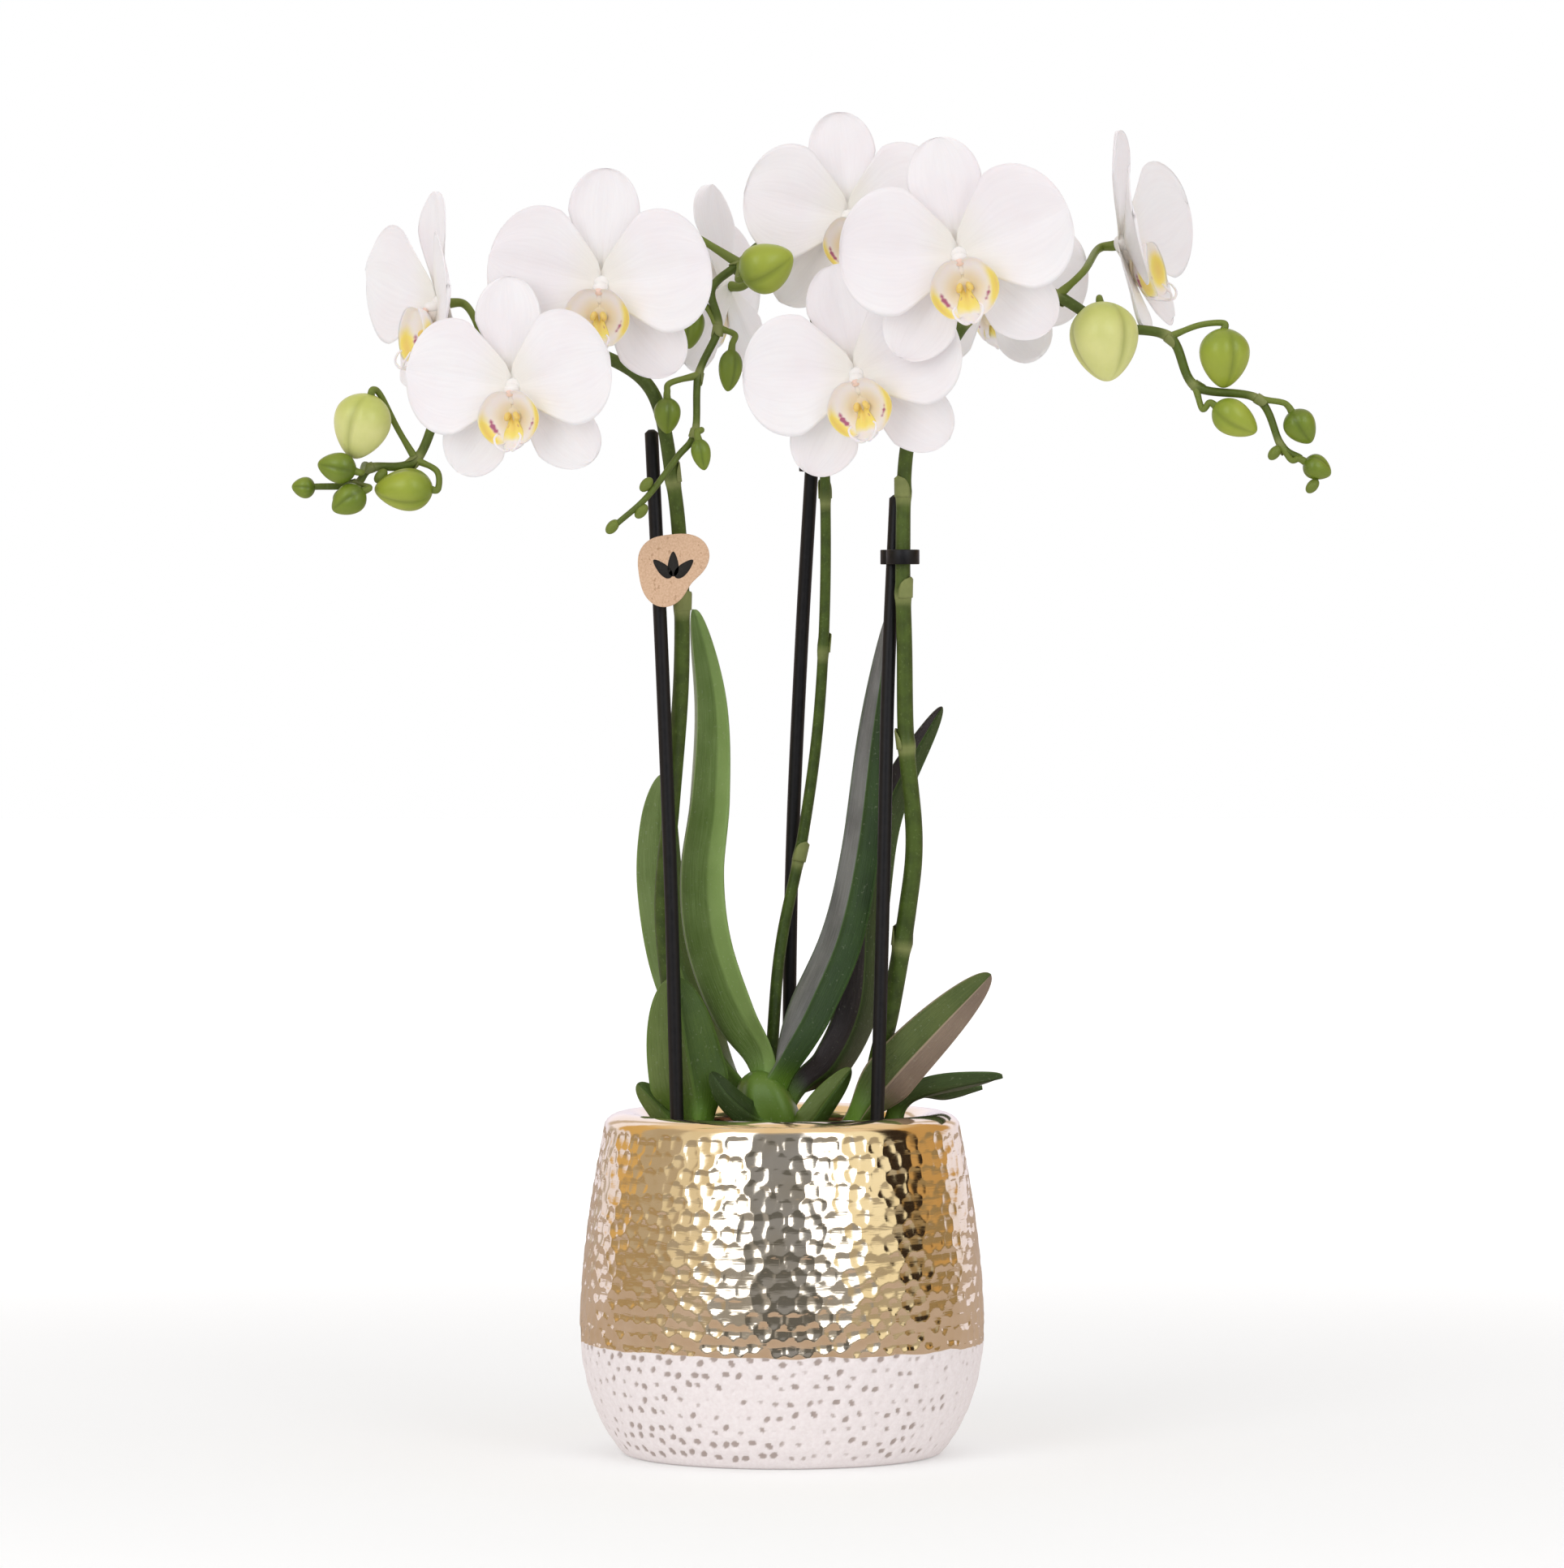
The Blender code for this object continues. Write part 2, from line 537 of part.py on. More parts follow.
SPIKES = {
    "left_spike": (LEFT_ROUTE, 3.2, 1.0, [
        ("flower", "left_1", 9, [(-57, -27, 249)]),
        ("flower", "left_2", 10, [(-83, -29, 240)]),
        ("flower", "left_3", 11, [(-94, -17, 251)]),
        ("bud", "left_1", 13, [(-117, -27, 217), (-122, -30, 227)]),
        ("bud", "left_2", 13, [(-105, -28, 204)]),
        ("bud", "left_3", 14, [(-127, -27, 206)]),
        ("bud", "left_4", 15, []),
    ]),
    "middle_spike": (MIDDLE_ROUTE, 2.0, 0.9, [
        ("flower", "middle_1", 6, [(15, -8, 232)]),
        ("flower", "middle_2", 7, [(12, 2, 272)]),
        ("flower", "middle_3", 9, [(-4, 12, 270)]),
        ("flower", "middle_4", 10, [(-26, -7, 276), (-37, -9, 281)]),
        ("bud", "middle_1", 10, [(-13, -13, 266)]),
        ("bud", "middle_2", 12, [(-14.5, -15, 246)]),
        ("bud", "middle_3", 12, [(-23, -11, 254.5)]),
        ("bud", "middle_4", 13, [(-34, -22, 231)]),
        ("bud", "middle_5", 14, [(-24.5, -28.5, 216.5)]),
    ]),
    "right_spike": (RIGHT_ROUTE, 3.2, 1.0, [
        ("flower", "right_1", 10, [(55, -34, 262)]),
        ("flower", "right_2", 11, [(66, -4, 262)]),
        ("flower", "right_3", 12, [(92, -20, 265)]),
        ("bud", "right_1", 13, [(97, -27, 255.5)]),
        ("bud", "right_2", 14, [(127, -23, 248.5)]),
        ("bud", "right_3", 15, [(128, -25, 223)]),
        ("bud", "right_4", 16, [(152, -26, 225)]),
        ("bud", "right_5", 17, [(155, -26, 207.5)]),
    ]),
}


def spike(name, route, foot_radius, tip_radius, stalks, finish):
    """A main stem and its stalks, grown together."""
    points = [above_bark(point) for point in route]
    stem = tube(name, points, foot_radius, tip_radius, 3 * len(points) // 2)
    obj = node(name, stem, finish)
    made = []
    for kind, carried, leaves_at, bends in stalks:
        before, end = flower_back(carried) if kind == "flower" else bud_foot(carried)
        path = [points[leaves_at], *(above_bark(bend) for bend in bends), before, end]
        radius = STALK_RADIUS if kind == "flower" else STALK_RADIUS * 0.85
        made.append(tube(f"{name}_stalk", path, radius, radius, len(path) + 1))
    combine(obj, "UNION", made)


# ---------------------------------------------------------------- the whole plant


def build():
    clear_scene()
    glaze = material("pot_glaze", (0.83, 0.66, 0.38), 0.12, 1.0)
    plastic = material("culture_plastic", (0.18, 0.09, 0.05), 0.5)
    bark = material("bark", (0.19, 0.1, 0.05), 0.9)
    black = material("black_plastic", (0.012, 0.012, 0.013), 0.45)
    card = material("tag_card", (0.62, 0.41, 0.25), 0.8)
    blade = material("leaf", (0.09, 0.22, 0.04), 0.4)
    stem = material("stem", (0.09, 0.17, 0.03), 0.5)
    petal = material("petal", (0.86, 0.84, 0.87), 0.6)
    lip_finish = material("lip", (0.9, 0.82, 0.7), 0.5)
    bud_finish = material("bud", (0.42, 0.55, 0.12), 0.5)

    sticks = {name: [above_bark(point) for point in route] for name, route in STICK_ROUTES.items()}
    ceramic_pot(glaze)
    culture_pot(plastic)
    bark_mix(bark, sticks.values())
    for name, points in sticks.items():
        node(name, tube(name, points, STICK_RADIUS, STICK_RADIUS, 8, 2), black)
    for side, height in (("left", 175.0), ("middle", 207.0), ("right", 178.0)):
        route, foot_radius, _, _ = SPIKES[f"{side}_spike"]
        stem_points = [above_bark(point) for point in route[:9]]
        reach = BARK_TOP + height
        clip(f"{side}_clip", stem_points, foot_radius, sticks[f"{side}_stick"], reach, black)
    plant_tag((-34, -19.5, 175), card)

    crown = turned("crown", [(radius, height) for radius, height in CROWN_PROFILE], 12)
    crown.transform(Matrix.Translation(Vector((*CROWN_PLACE, BARK_TOP)) * MM))
    node("crown", crown, stem)
    for name, shape in LEAVES.items():
        leaf(name, *shape, blade)
    for name, shape in FLOWERS.items():
        flower(f"flower_{name}", *shape, petal)
        lip(f"lip_{name}", *shape, lip_finish)
    for name, shape in BUDS.items():
        bud(f"bud_{name}", *shape, bud_finish)
    for name, shape in SPIKES.items():
        spike(name, *shape, stem)


build()
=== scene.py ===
"""The looks of a potted moth orchid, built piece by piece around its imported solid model."""

import math
import random

import bmesh
import bpy
from mathutils import Matrix, Vector, noise


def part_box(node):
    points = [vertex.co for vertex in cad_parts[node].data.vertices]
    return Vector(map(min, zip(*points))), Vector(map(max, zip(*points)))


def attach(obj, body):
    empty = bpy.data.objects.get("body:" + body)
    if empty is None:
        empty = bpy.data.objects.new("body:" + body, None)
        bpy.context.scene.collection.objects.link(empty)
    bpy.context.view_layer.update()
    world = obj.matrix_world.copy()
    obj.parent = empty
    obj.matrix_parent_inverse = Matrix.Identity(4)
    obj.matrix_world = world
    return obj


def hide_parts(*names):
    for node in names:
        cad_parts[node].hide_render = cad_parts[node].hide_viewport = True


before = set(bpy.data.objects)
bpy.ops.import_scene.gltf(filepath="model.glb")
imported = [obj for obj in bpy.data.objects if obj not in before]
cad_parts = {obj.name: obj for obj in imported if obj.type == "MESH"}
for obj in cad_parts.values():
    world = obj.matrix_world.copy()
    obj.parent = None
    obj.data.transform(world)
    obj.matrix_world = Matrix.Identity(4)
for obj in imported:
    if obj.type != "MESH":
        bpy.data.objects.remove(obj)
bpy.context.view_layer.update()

# ---- studio
# A pale floor in an evenly lit white room, with a tall softbox on each side of the camera and
# one above. What shines reflects other walls than these: bright panels, warm wood, dark gaps.

CAMERA_PLACE = Vector((0.0, -2.4, 0.257))
CAMERA_AIM = Vector((0.0, 0.0, 0.2065))
CAMERA_LENS = 178.9


def stand(name, data, place, aim):
    """Puts a camera or a lamp in the room, turned towards its aim."""
    made = bpy.data.objects.new(name, data)
    made.location = place
    made.rotation_euler = (aim - place).to_track_quat("-Z", "Y").to_euler()
    bpy.context.scene.collection.objects.link(made)
    return made


camera_data = bpy.data.cameras.new("camera")
camera_data.lens = CAMERA_LENS
bpy.context.scene.camera = stand("camera", camera_data, CAMERA_PLACE, CAMERA_AIM)


class Wire:
    """A socket in a node tree. Sums and products of wires and numbers add Math nodes."""

    def __init__(self, tree, socket=None):
        self.tree = tree
        self.socket = socket

    def feed(self, socket, value):
        """Links or sets a socket. A name means that socket of the material's shader."""
        if isinstance(socket, str):
            socket = self.tree.nodes["Principled BSDF"].inputs[socket]
        if isinstance(value, Wire):
            self.tree.links.new(value.socket, socket)
        else:
            socket.default_value = value

    def node(self, kind, inputs, out=0, stops=(), **settings):
        """Adds a node: its settings and ramp stops first, then its inputs, as values or wires."""
        made = self.tree.nodes.new(f"ShaderNode{kind}")
        for name, value in settings.items():
            setattr(made, name, value)
        for index, (place, colour) in enumerate(stops):
            if index < 2:
                made.color_ramp.elements[index].position = place
            else:
                made.color_ramp.elements.new(place)
            made.color_ramp.elements[index].color = (*colour, 1.0)
        for name, value in inputs.items():
            self.feed(made.inputs[name], value)
        return Wire(self.tree, made.outputs[out])

    def math(self, operation, *values):
        return self.node("Math", dict(enumerate(values)), operation=operation)

    def place(self):
        return self.node("TexCoord", {}, out="Object")

    def held(self, name):
        """A value that the mesh holds at its vertices."""
        return self.node("Attribute", {}, out="Fac", attribute_name=name)

    def clouds(self, scale, detail=2.0, roughness=0.5):
        """Noise over the place that this wire gives."""
        inputs = {"Vector": self, "Scale": scale, "Detail": detail, "Roughness": roughness}
        return self.node("TexNoise", inputs)

    def bump(self, strength, distance):
        """The normal of a surface that this wire raises."""
        return self.node("Bump", {"Strength": strength, "Distance": distance, "Height": self})

    def __add__(self, other):
        return self.math("ADD", self, other)

    def __sub__(self, other):
        return self.math("SUBTRACT", self, other)

    def __rsub__(self, other):
        return self.math("SUBTRACT", other, self)

    def __mul__(self, other):
        return self.math("MULTIPLY", self, other)

    __radd__ = __add__
    __rmul__ = __mul__

    def step(self, low, high):
        """0 below low, 1 above high, and smooth between."""
        inputs = {"Value": self, "From Min": low, "From Max": high}
        return self.node("MapRange", inputs, interpolation_type="SMOOTHSTEP")

    def mix(self, below, above):
        """The colour below where this wire is 0, and the one above where it is 1."""
        colours = [c if isinstance(c, Wire) else (*c, 1.0) for c in (below, above)]
        return self.node("Mix", {0: self, 6: colours[0], 7: colours[1]}, out=2, data_type="RGBA")


def finish(name, **values):
    """A material whose constant values are set on its shader, and the wire that builds on it."""
    made = bpy.data.materials.new(name)
    made.use_nodes = True
    wire = Wire(made.node_tree)
    for socket, value in values.items():
        wire.feed(socket.replace("_", " "), value)
    return made, wire


world = bpy.data.worlds.new("studio")
world.use_nodes = True
bpy.context.scene.world = world
bpy.context.scene.view_settings.view_transform = "Standard"
room = Wire(world.node_tree)
facing = room.node("TexCoord", {}, out="Generated")
side, depth, rise = (room.node("SeparateXYZ", {0: facing}, out=axis) for axis in "XYZ")
bearing = side.math("ARCTAN2", side, 0.0 - depth) * (0.5 / math.pi) + 0.5
CORNER = 2


def bearings(*walls):
    """Ramp stops for walls that start at these bearings in degrees, with soft corners between."""
    stops = []
    for (start, colour), (end, _) in zip(walls, [*walls[1:], (180, None)]):
        stops.append((0.5 + (start + CORNER) / 360, colour))
        stops.append((0.5 + (end - CORNER) / 360, colour))
    return stops


walls = bearings((-180, (1.02, 0.95, 1.05)), (-160, (0.62, 0.5, 0.42)), (-150, (1.02, 0.95, 1.05)),
                 (-134, (0.7, 0.44, 0.16)), (-104, (0.5, 0.4, 0.28)), (-72, (0.78, 0.66, 0.46)),
                 (-50, (1.1, 0.98, 0.78)), (-45, (2.6, 2.7, 3.0)), (-20, (0.27, 0.275, 0.3)),
                 (17, (2.6, 2.7, 3.0)), (43, (0.98, 0.87, 0.62)), (71, (0.03, 0.018, 0.01)),
                 (93, (0.58, 0.34, 0.12)), (142, (1.0, 0.93, 1.05)), (151, (0.6, 0.48, 0.4)),
                 (160, (1.0, 0.93, 1.05)))
low_walls = bearings((-180, (0.9, 0.84, 0.95)), (-150, (0.5, 0.42, 0.36)), (-138, (0.9, 0.84, 0.95)),
                     (-118, (0.42, 0.3, 0.16)), (-75, (0.42, 0.35, 0.26)), (-42, (0.34, 0.33, 0.33)),
                     (-15, (0.13, 0.13, 0.13)), (17, (0.34, 0.33, 0.33)), (43, (0.46, 0.39, 0.28)),
                     (80, (0.33, 0.23, 0.11)), (122, (0.9, 0.84, 0.95)))
high = room.node("ValToRGB", {"Fac": bearing}, stops=walls)
low = room.node("ValToRGB", {"Fac": bearing}, stops=low_walls)
shown = rise.step(0.06, 0.17).mix(low, high)
shown = rise.step(0.55, 0.85).mix(shown, (0.86, 0.68, 0.46))
seen, mirrored = (room.node("LightPath", {}, out=f"Is {kind} Ray") for kind in ("Camera", "Glossy"))
background = world.node_tree.nodes["Background"]
ROOM_LIGHT = (0.71, 0.685, 0.692)
room.feed(background.inputs["Color"], seen.mix(mirrored.mix(ROOM_LIGHT, shown), (1.0, 1.0, 1.0)))
background.inputs["Strength"].default_value = 1.0

LAMP_AIM = Vector((0, 0, 0.22))


def softbox(name, place, width, height, power):
    light = bpy.data.lights.new(name, "AREA")
    light.shape = "RECTANGLE"
    light.size = width
    light.size_y = height
    light.energy = power
    lamp = stand(name, light, place, LAMP_AIM)
    lamp.visible_camera = False
    lamp.visible_glossy = False


softbox("softbox_left", Vector((-1.05, -1.75, 0.85)), 0.95, 1.6, 9.6)
softbox("softbox_right", Vector((1.05, -1.75, 0.85)), 0.7, 1.6, 4.4)
softbox("softbox_top", Vector((0.1, -0.3, 2.2)), 1.6, 1.2, 5.4)

FLOOR_FRONT = 0.34
FLOOR_HALF = 4.0
floor_shape = bmesh.new()
bmesh.ops.create_grid(floor_shape, x_segments=1, y_segments=1, size=FLOOR_HALF)
bmesh.ops.translate(floor_shape, verts=floor_shape.verts, vec=(0, FLOOR_HALF - FLOOR_FRONT, 0))
floor_mesh = bpy.data.meshes.new("floor")
floor_shape.to_mesh(floor_mesh)
floor_shape.free()
floor = bpy.data.objects.new("floor", floor_mesh)
floor_paint, wire = finish("floor_paint", Roughness=0.8, Emission_Strength=1.0)
# Painted light: the floor glows by its own emission, faintly near the pot and more strongly further out.
distance = wire.node("VectorMath", {0: wire.place()}, out="Value", operation="LENGTH")
glow = distance.step(0.2, 1.2).mix((0.17, 0.17, 0.17), (0.45, 0.45, 0.45))
mirrored = wire.node("LightPath", {}, out="Is Glossy Ray")
# Painted reflection: in glossy rays the floor turns a darker brown and hardly glows, so the gold glaze
# mirrors a brown floor.
wire.feed("Base Color", mirrored.mix((0.86, 0.885, 0.88), (0.56, 0.45, 0.38)))
wire.feed("Emission Color", mirrored.mix(glow, (0.02, 0.015, 0.01)))
floor_mesh.materials.append(floor_paint)
bpy.context.scene.collection.objects.link(floor)

# ---- cover pot
# Slip-cast stoneware with a thick round rim. Its outside is hammered with rows of dimples.
# The upper part and the inside wear a gold mirror glaze, and the foot is bare matt white, with painted
# shade darkening its pits.

MM = 0.001
POT_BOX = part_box("ceramic_pot")
POT_HEIGHT = POT_BOX[1][2] / MM
BELLY_RADIUS = POT_BOX[1][0] / MM
BELLY_HEIGHT = 40.0
BASE_RADIUS = 48.0
POT_TAPER = 8.5
RIM_RISE = 4.5
MOUTH_RADIUS = 41.5
POT_WALL = 5.5
POT_FLOOR = 7.0
GLAZE_LINE = 35.0
DENT_ROW = 4.25
DENTS_ROUND = 76
POT_STEPS = 560
OUTER_ROWS = 142
RIM_STEPS = 12
MOUTH_DEPTH = 30.0
FOOT_RECESS = 0.6
FOOT_RING = 8.0


def pot_radius(height):
    if height < BELLY_HEIGHT:
        share = (height / BELLY_HEIGHT) ** 0.74
        return BASE_RADIUS + (BELLY_RADIUS - BASE_RADIUS) * math.sin(share * math.pi / 2)
    share = (height - BELLY_HEIGHT) / (POT_HEIGHT - BELLY_HEIGHT)
    return BELLY_RADIUS - POT_TAPER * share**1.7


def piece(name, shape, material, slot, *nodes):
    """Makes a finished piece from a bmesh in millimetres. It stands for its solid nodes."""
    bmesh.ops.scale(shape, vec=(MM, MM, MM), verts=shape.verts)
    mesh = bpy.data.meshes.new(name)
    shape.to_mesh(mesh)
    shape.free()
    mesh.shade_smooth()
    mesh.materials.append(material)
    obj = bpy.data.objects.new(name, mesh)
    bpy.context.scene.collection.objects.link(obj)
    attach(obj, "root")
    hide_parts(*nodes)


DENT_REACH = 7.6
DENT_DEPTH = 0.45
DENT_STRAY = 0.25
PLAIN_TOP = 5.0
hammer = random.Random(11)
dents = {}


def press(angle, level):
    """One dimple: how far it strays to the side and up, how hard it is struck, how it leans."""
    patch = noise.noise((math.cos(angle) * 1.9, math.sin(angle) * 1.9, level * 0.07))
    lean = 0.26 * math.cos(angle + 2.4) + 0.15 * (level < 12)
    strength = min(1.0, max(0.0, 0.5 + lean + 0.8 * patch + hammer.uniform(-0.35, 0.35)))
    return hammer.uniform(-1, 1), hammer.uniform(-1, 1), strength, hammer.uniform(-0.9, 0.9)


def dent_at(angle, height):
    """How deep the hammered wall is at a place, in mm, and how far into a pit it is, 0 to 1, which darkens
    the pit with painted shade.
    """
    row = round(height / DENT_ROW)
    depth = pit = 0.0
    for near in (row - 1, row, row + 1):
        level = near * DENT_ROW
        if near < 1 or level > POT_HEIGHT - PLAIN_TOP:
            continue
        offset = 0.5 * (near % 2)
        column = round(angle / math.tau * DENTS_ROUND - offset)
        for beside in (column - 1, column, column + 1):
            key = (near, beside % DENTS_ROUND)
            if key not in dents:
                dents[key] = press(angle, level)
            shift_x, shift_y, strength, tilt = dents[key]
            centre = (beside + offset + DENT_STRAY * shift_x) * math.tau / DENTS_ROUND
            across = (angle - centre) * pot_radius(height)
            up = height - (near + DENT_STRAY * shift_y) * DENT_ROW
            inside = 1 - (across * across + up * up) / DENT_REACH
            if inside <= 0:
                continue
            if level > GLAZE_LINE:
                deep = 0.15 + 0.25 * strength + 0.3 * max(0.0, 1 - (level - GLAZE_LINE) / 12)
                depth = max(depth, deep * inside * (1.6 - 0.6 * inside))
                continue
            depth = max(depth, DENT_DEPTH * inside)
            long = (across * math.cos(tilt) + up * math.sin(tilt)) / (0.9 + 0.65 * strength)
            wide = (up * math.cos(tilt) - across * math.sin(tilt)) / (0.65 + 0.4 * strength)
            hollow = 1 - long * long - wide * wide
            if hollow > 0:
                depth = max(depth, DENT_DEPTH * inside + 0.65 * strength * hollow**0.7)
                pit = max(pit, min(1.0, 1.5 * hollow) * strength)
    return depth, pit


rim_foot = POT_HEIGHT - RIM_RISE
rim_half = (pot_radius(rim_foot) - MOUTH_RADIUS) / 2
foot_inside = BASE_RADIUS - 1 - FOOT_RING
profile = [(0.0, FOOT_RECESS), (foot_inside, FOOT_RECESS), (foot_inside + 2, 0.0), (BASE_RADIUS - 1, 0.0)]
heights = [FOOT_RECESS + row * (rim_foot - FOOT_RECESS) / OUTER_ROWS for row in range(OUTER_ROWS)]
profile += [(pot_radius(height), height) for height in heights]
for step in range(RIM_STEPS + 1):
    turn = math.pi * step / RIM_STEPS
    profile.append((MOUTH_RADIUS + rim_half * (1 + math.cos(turn)), rim_foot + RIM_RISE * math.sin(turn)))
for share in (0.94, 0.86, 0.7, 0.5, 0.3, 0.14, POT_FLOOR / rim_foot):
    height = share * rim_foot
    opened = min((rim_foot - height) / MOUTH_DEPTH, 1.0)
    profile.append((MOUTH_RADIUS + (pot_radius(height) - POT_WALL - MOUTH_RADIUS) * opened, height))
profile.append((0.0, POT_FLOOR))


def spun(profile, steps, closed=False):
    """Turns a profile of radii and heights round the Z axis."""
    shape = bmesh.new()
    verts = [shape.verts.new((radius, 0, height)) for radius, height in profile]
    edges = [shape.edges.new(pair) for pair in zip(verts, verts[1:] + verts[:1] * closed)]
    bmesh.ops.spin(shape, geom=verts + edges, axis=(0, 0, 1), cent=(0, 0, 0),
                   angle=math.tau, steps=steps, use_merge=True)
    return shape


pot_shape = spun(profile, POT_STEPS)
bmesh.ops.remove_doubles(pot_shape, verts=pot_shape.verts, dist=0.001)
# The pit value held here sets the painted shade that darkens each pit.
pit_shade_layer = pot_shape.verts.layers.float.new("pit_shade")
for vert in pot_shape.verts:
    radius, height = vert.co.xy.length, vert.co.z
    if height < rim_foot and abs(radius - pot_radius(height)) < 0.01 and height > 1.0:
        depth_here, pit_shade_here = dent_at(math.atan2(vert.co.y, vert.co.x) % math.tau, height)
        vert.co.xy *= 1 - depth_here / radius
        vert[pit_shade_layer] = pit_shade_here
bmesh.ops.recalc_face_normals(pot_shape, faces=pot_shape.faces)

pot_glaze, wire = finish("hammered_glaze")
place = wire.place()
above_floor = wire.node("SeparateXYZ", {0: place}, out="Z")
wander = place.clouds(90.0)
fine = place.clouds(900.0, 4.0)
stretched = wire.node("VectorMath", {0: place, 1: (110.0, 110.0, 620.0)}, operation="MULTIPLY")
throwing = stretched.clouds(1.0)
edge = GLAZE_LINE * MM
gold = (above_floor + 0.0022 * (wander - 0.5)).step(edge - 0.0002, edge + 0.0002)
clay = fine.step(0.3, 0.7).mix((0.835, 0.765, 0.76), (0.885, 0.825, 0.82))
# Painted shade: the white clay turns brown in the pits of the foot, as far as the pit value reaches.
chalk_with_pit_shade = (wire.held("pit_shade").step(0.1, 0.8) * 0.85).mix(clay, (0.36, 0.285, 0.25))
gilt = wander.step(0.2, 0.8).mix((0.87, 0.745, 0.54), (0.93, 0.83, 0.66))
wire.feed("Base Color", gold.mix(chalk_with_pit_shade, gilt))
wire.feed("Metallic", gold)
wire.feed("Roughness", 0.62 - gold * 0.54 + 0.05 * fine)
relief = fine * (1.0 - gold) * 0.0001 + throwing * gold * 0.00008
wire.feed("Normal", relief.bump(1.0, 1.0))
piece("glazed_pot", pot_shape, pot_glaze, "pot_glaze", "ceramic_pot")

# ---- culture pot and bark
# The nursery's thin brown plastic pot stands in the cover pot. It is filled with pine bark,
# heaped a little over its rim, in chips as big as a fingernail.

culture, wire = finish("brown_plastic", Roughness=0.45)
scuffs = wire.place().clouds(300.0, 3.0)
wire.feed("Base Color", scuffs.mix((0.07, 0.035, 0.02), (0.15, 0.08, 0.05)))
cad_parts["culture_pot"].material_slots[0].material = culture

BARK_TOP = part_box("bark_mix")[1][2] / MM
BARK_RADIUS = 36.5
CHIPS = 190
CHIP_ROUGHNESS = 0.55
CHIP_GRAIN = 0.45

bark, wire = finish("pine_bark", Roughness=0.9)
place = wire.place()
flakes = place.clouds(260.0, 6.0, 0.7)
patches = place.clouds(60.0)
colour = flakes.step(0.3, 0.75).mix((0.06, 0.03, 0.018), (0.34, 0.17, 0.09))
wire.feed("Base Color", (patches.step(0.45, 0.7) * 0.6).mix(colour, (0.16, 0.10, 0.07)))
wire.feed("Normal", flakes.bump(0.7, 0.0015))
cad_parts["bark_mix"].material_slots[0].material = bark

scatter = random.Random(5)
chips = bmesh.new()
for index in range(CHIPS):
    reach = BARK_RADIUS * math.sqrt(scatter.random())
    around = scatter.uniform(0, math.tau)
    size = Vector((scatter.uniform(3, 8), scatter.uniform(2.5, 5), scatter.uniform(1.2, 2.6)))
    lift = BARK_TOP + scatter.uniform(-0.8, 2.6) * (1 - 0.5 * reach / BARK_RADIUS)
    turn = Matrix.Rotation(scatter.uniform(0, math.tau), 4, "Z")
    tilt = Matrix.Rotation(scatter.gauss(0, 0.35), 4, "X")
    spot = Matrix.Translation((reach * math.cos(around), reach * math.sin(around), lift))
    chip = bmesh.ops.create_cube(chips, size=1.0, matrix=spot @ turn @ tilt @ Matrix.Diagonal((*size, 1)))
    bmesh.ops.subdivide_edges(chips, edges=list({e for v in chip["verts"] for e in v.link_edges}),
                              cuts=1, use_grid_fill=True)
for vert in chips.verts:
    vert.co += CHIP_ROUGHNESS * noise.noise_vector(vert.co * CHIP_GRAIN)
piece("bark_chips", chips, bark, "bark")

# ---- support sticks
# Three plain extruded sticks of black plastic, pushed down through the bark. Each stands beside
# its spike, and is a little bent by the plant that is clipped to it.

STICKS = {
    "left_stick": [(-30, -11.5, -38), (-32, -12, 0), (-34, -12.5, 75), (-36.5, -12, 140), (-40, -10, 216)],
    "middle_stick": [(2, 20, -38), (2, 20, 0), (3, 20, 80), (6, 18.5, 150), (9.5, 17, 211)],
    "right_stick": [(28, -15.5, -38), (29, -16, 0), (31, -15, 75), (32.5, -12, 140), (35, -7, 196)],
}
STICK_RADIUS = 2.1


def above_bark(point):
    """Places on the plant give their height above the bark."""
    return Vector((point[0], point[1], point[2] + BARK_TOP))


def along(points, t):
    """The place at t, from 0 to 1, on a smooth curve through the points."""
    spans = len(points) - 1
    index = min(int(t * spans), spans - 1)
    x = t * spans - index
    a, b = points[index], points[index + 1]
    before = points[index - 1] if index else a - (b - a)
    after = points[index + 2] if index + 2 <= spans else b + (b - a)
    bend = (2 * before - 5 * a + 4 * b - after) * x * x
    return 0.5 * (2 * a + (b - before) * x + bend + (3 * a - before - 3 * b + after) * x**3)


def heading(points, t, reach=0.01):
    """The way the curve runs at t."""
    return (along(points, min(t + reach, 1.0)) - along(points, max(t - reach, 0.0))).normalized()


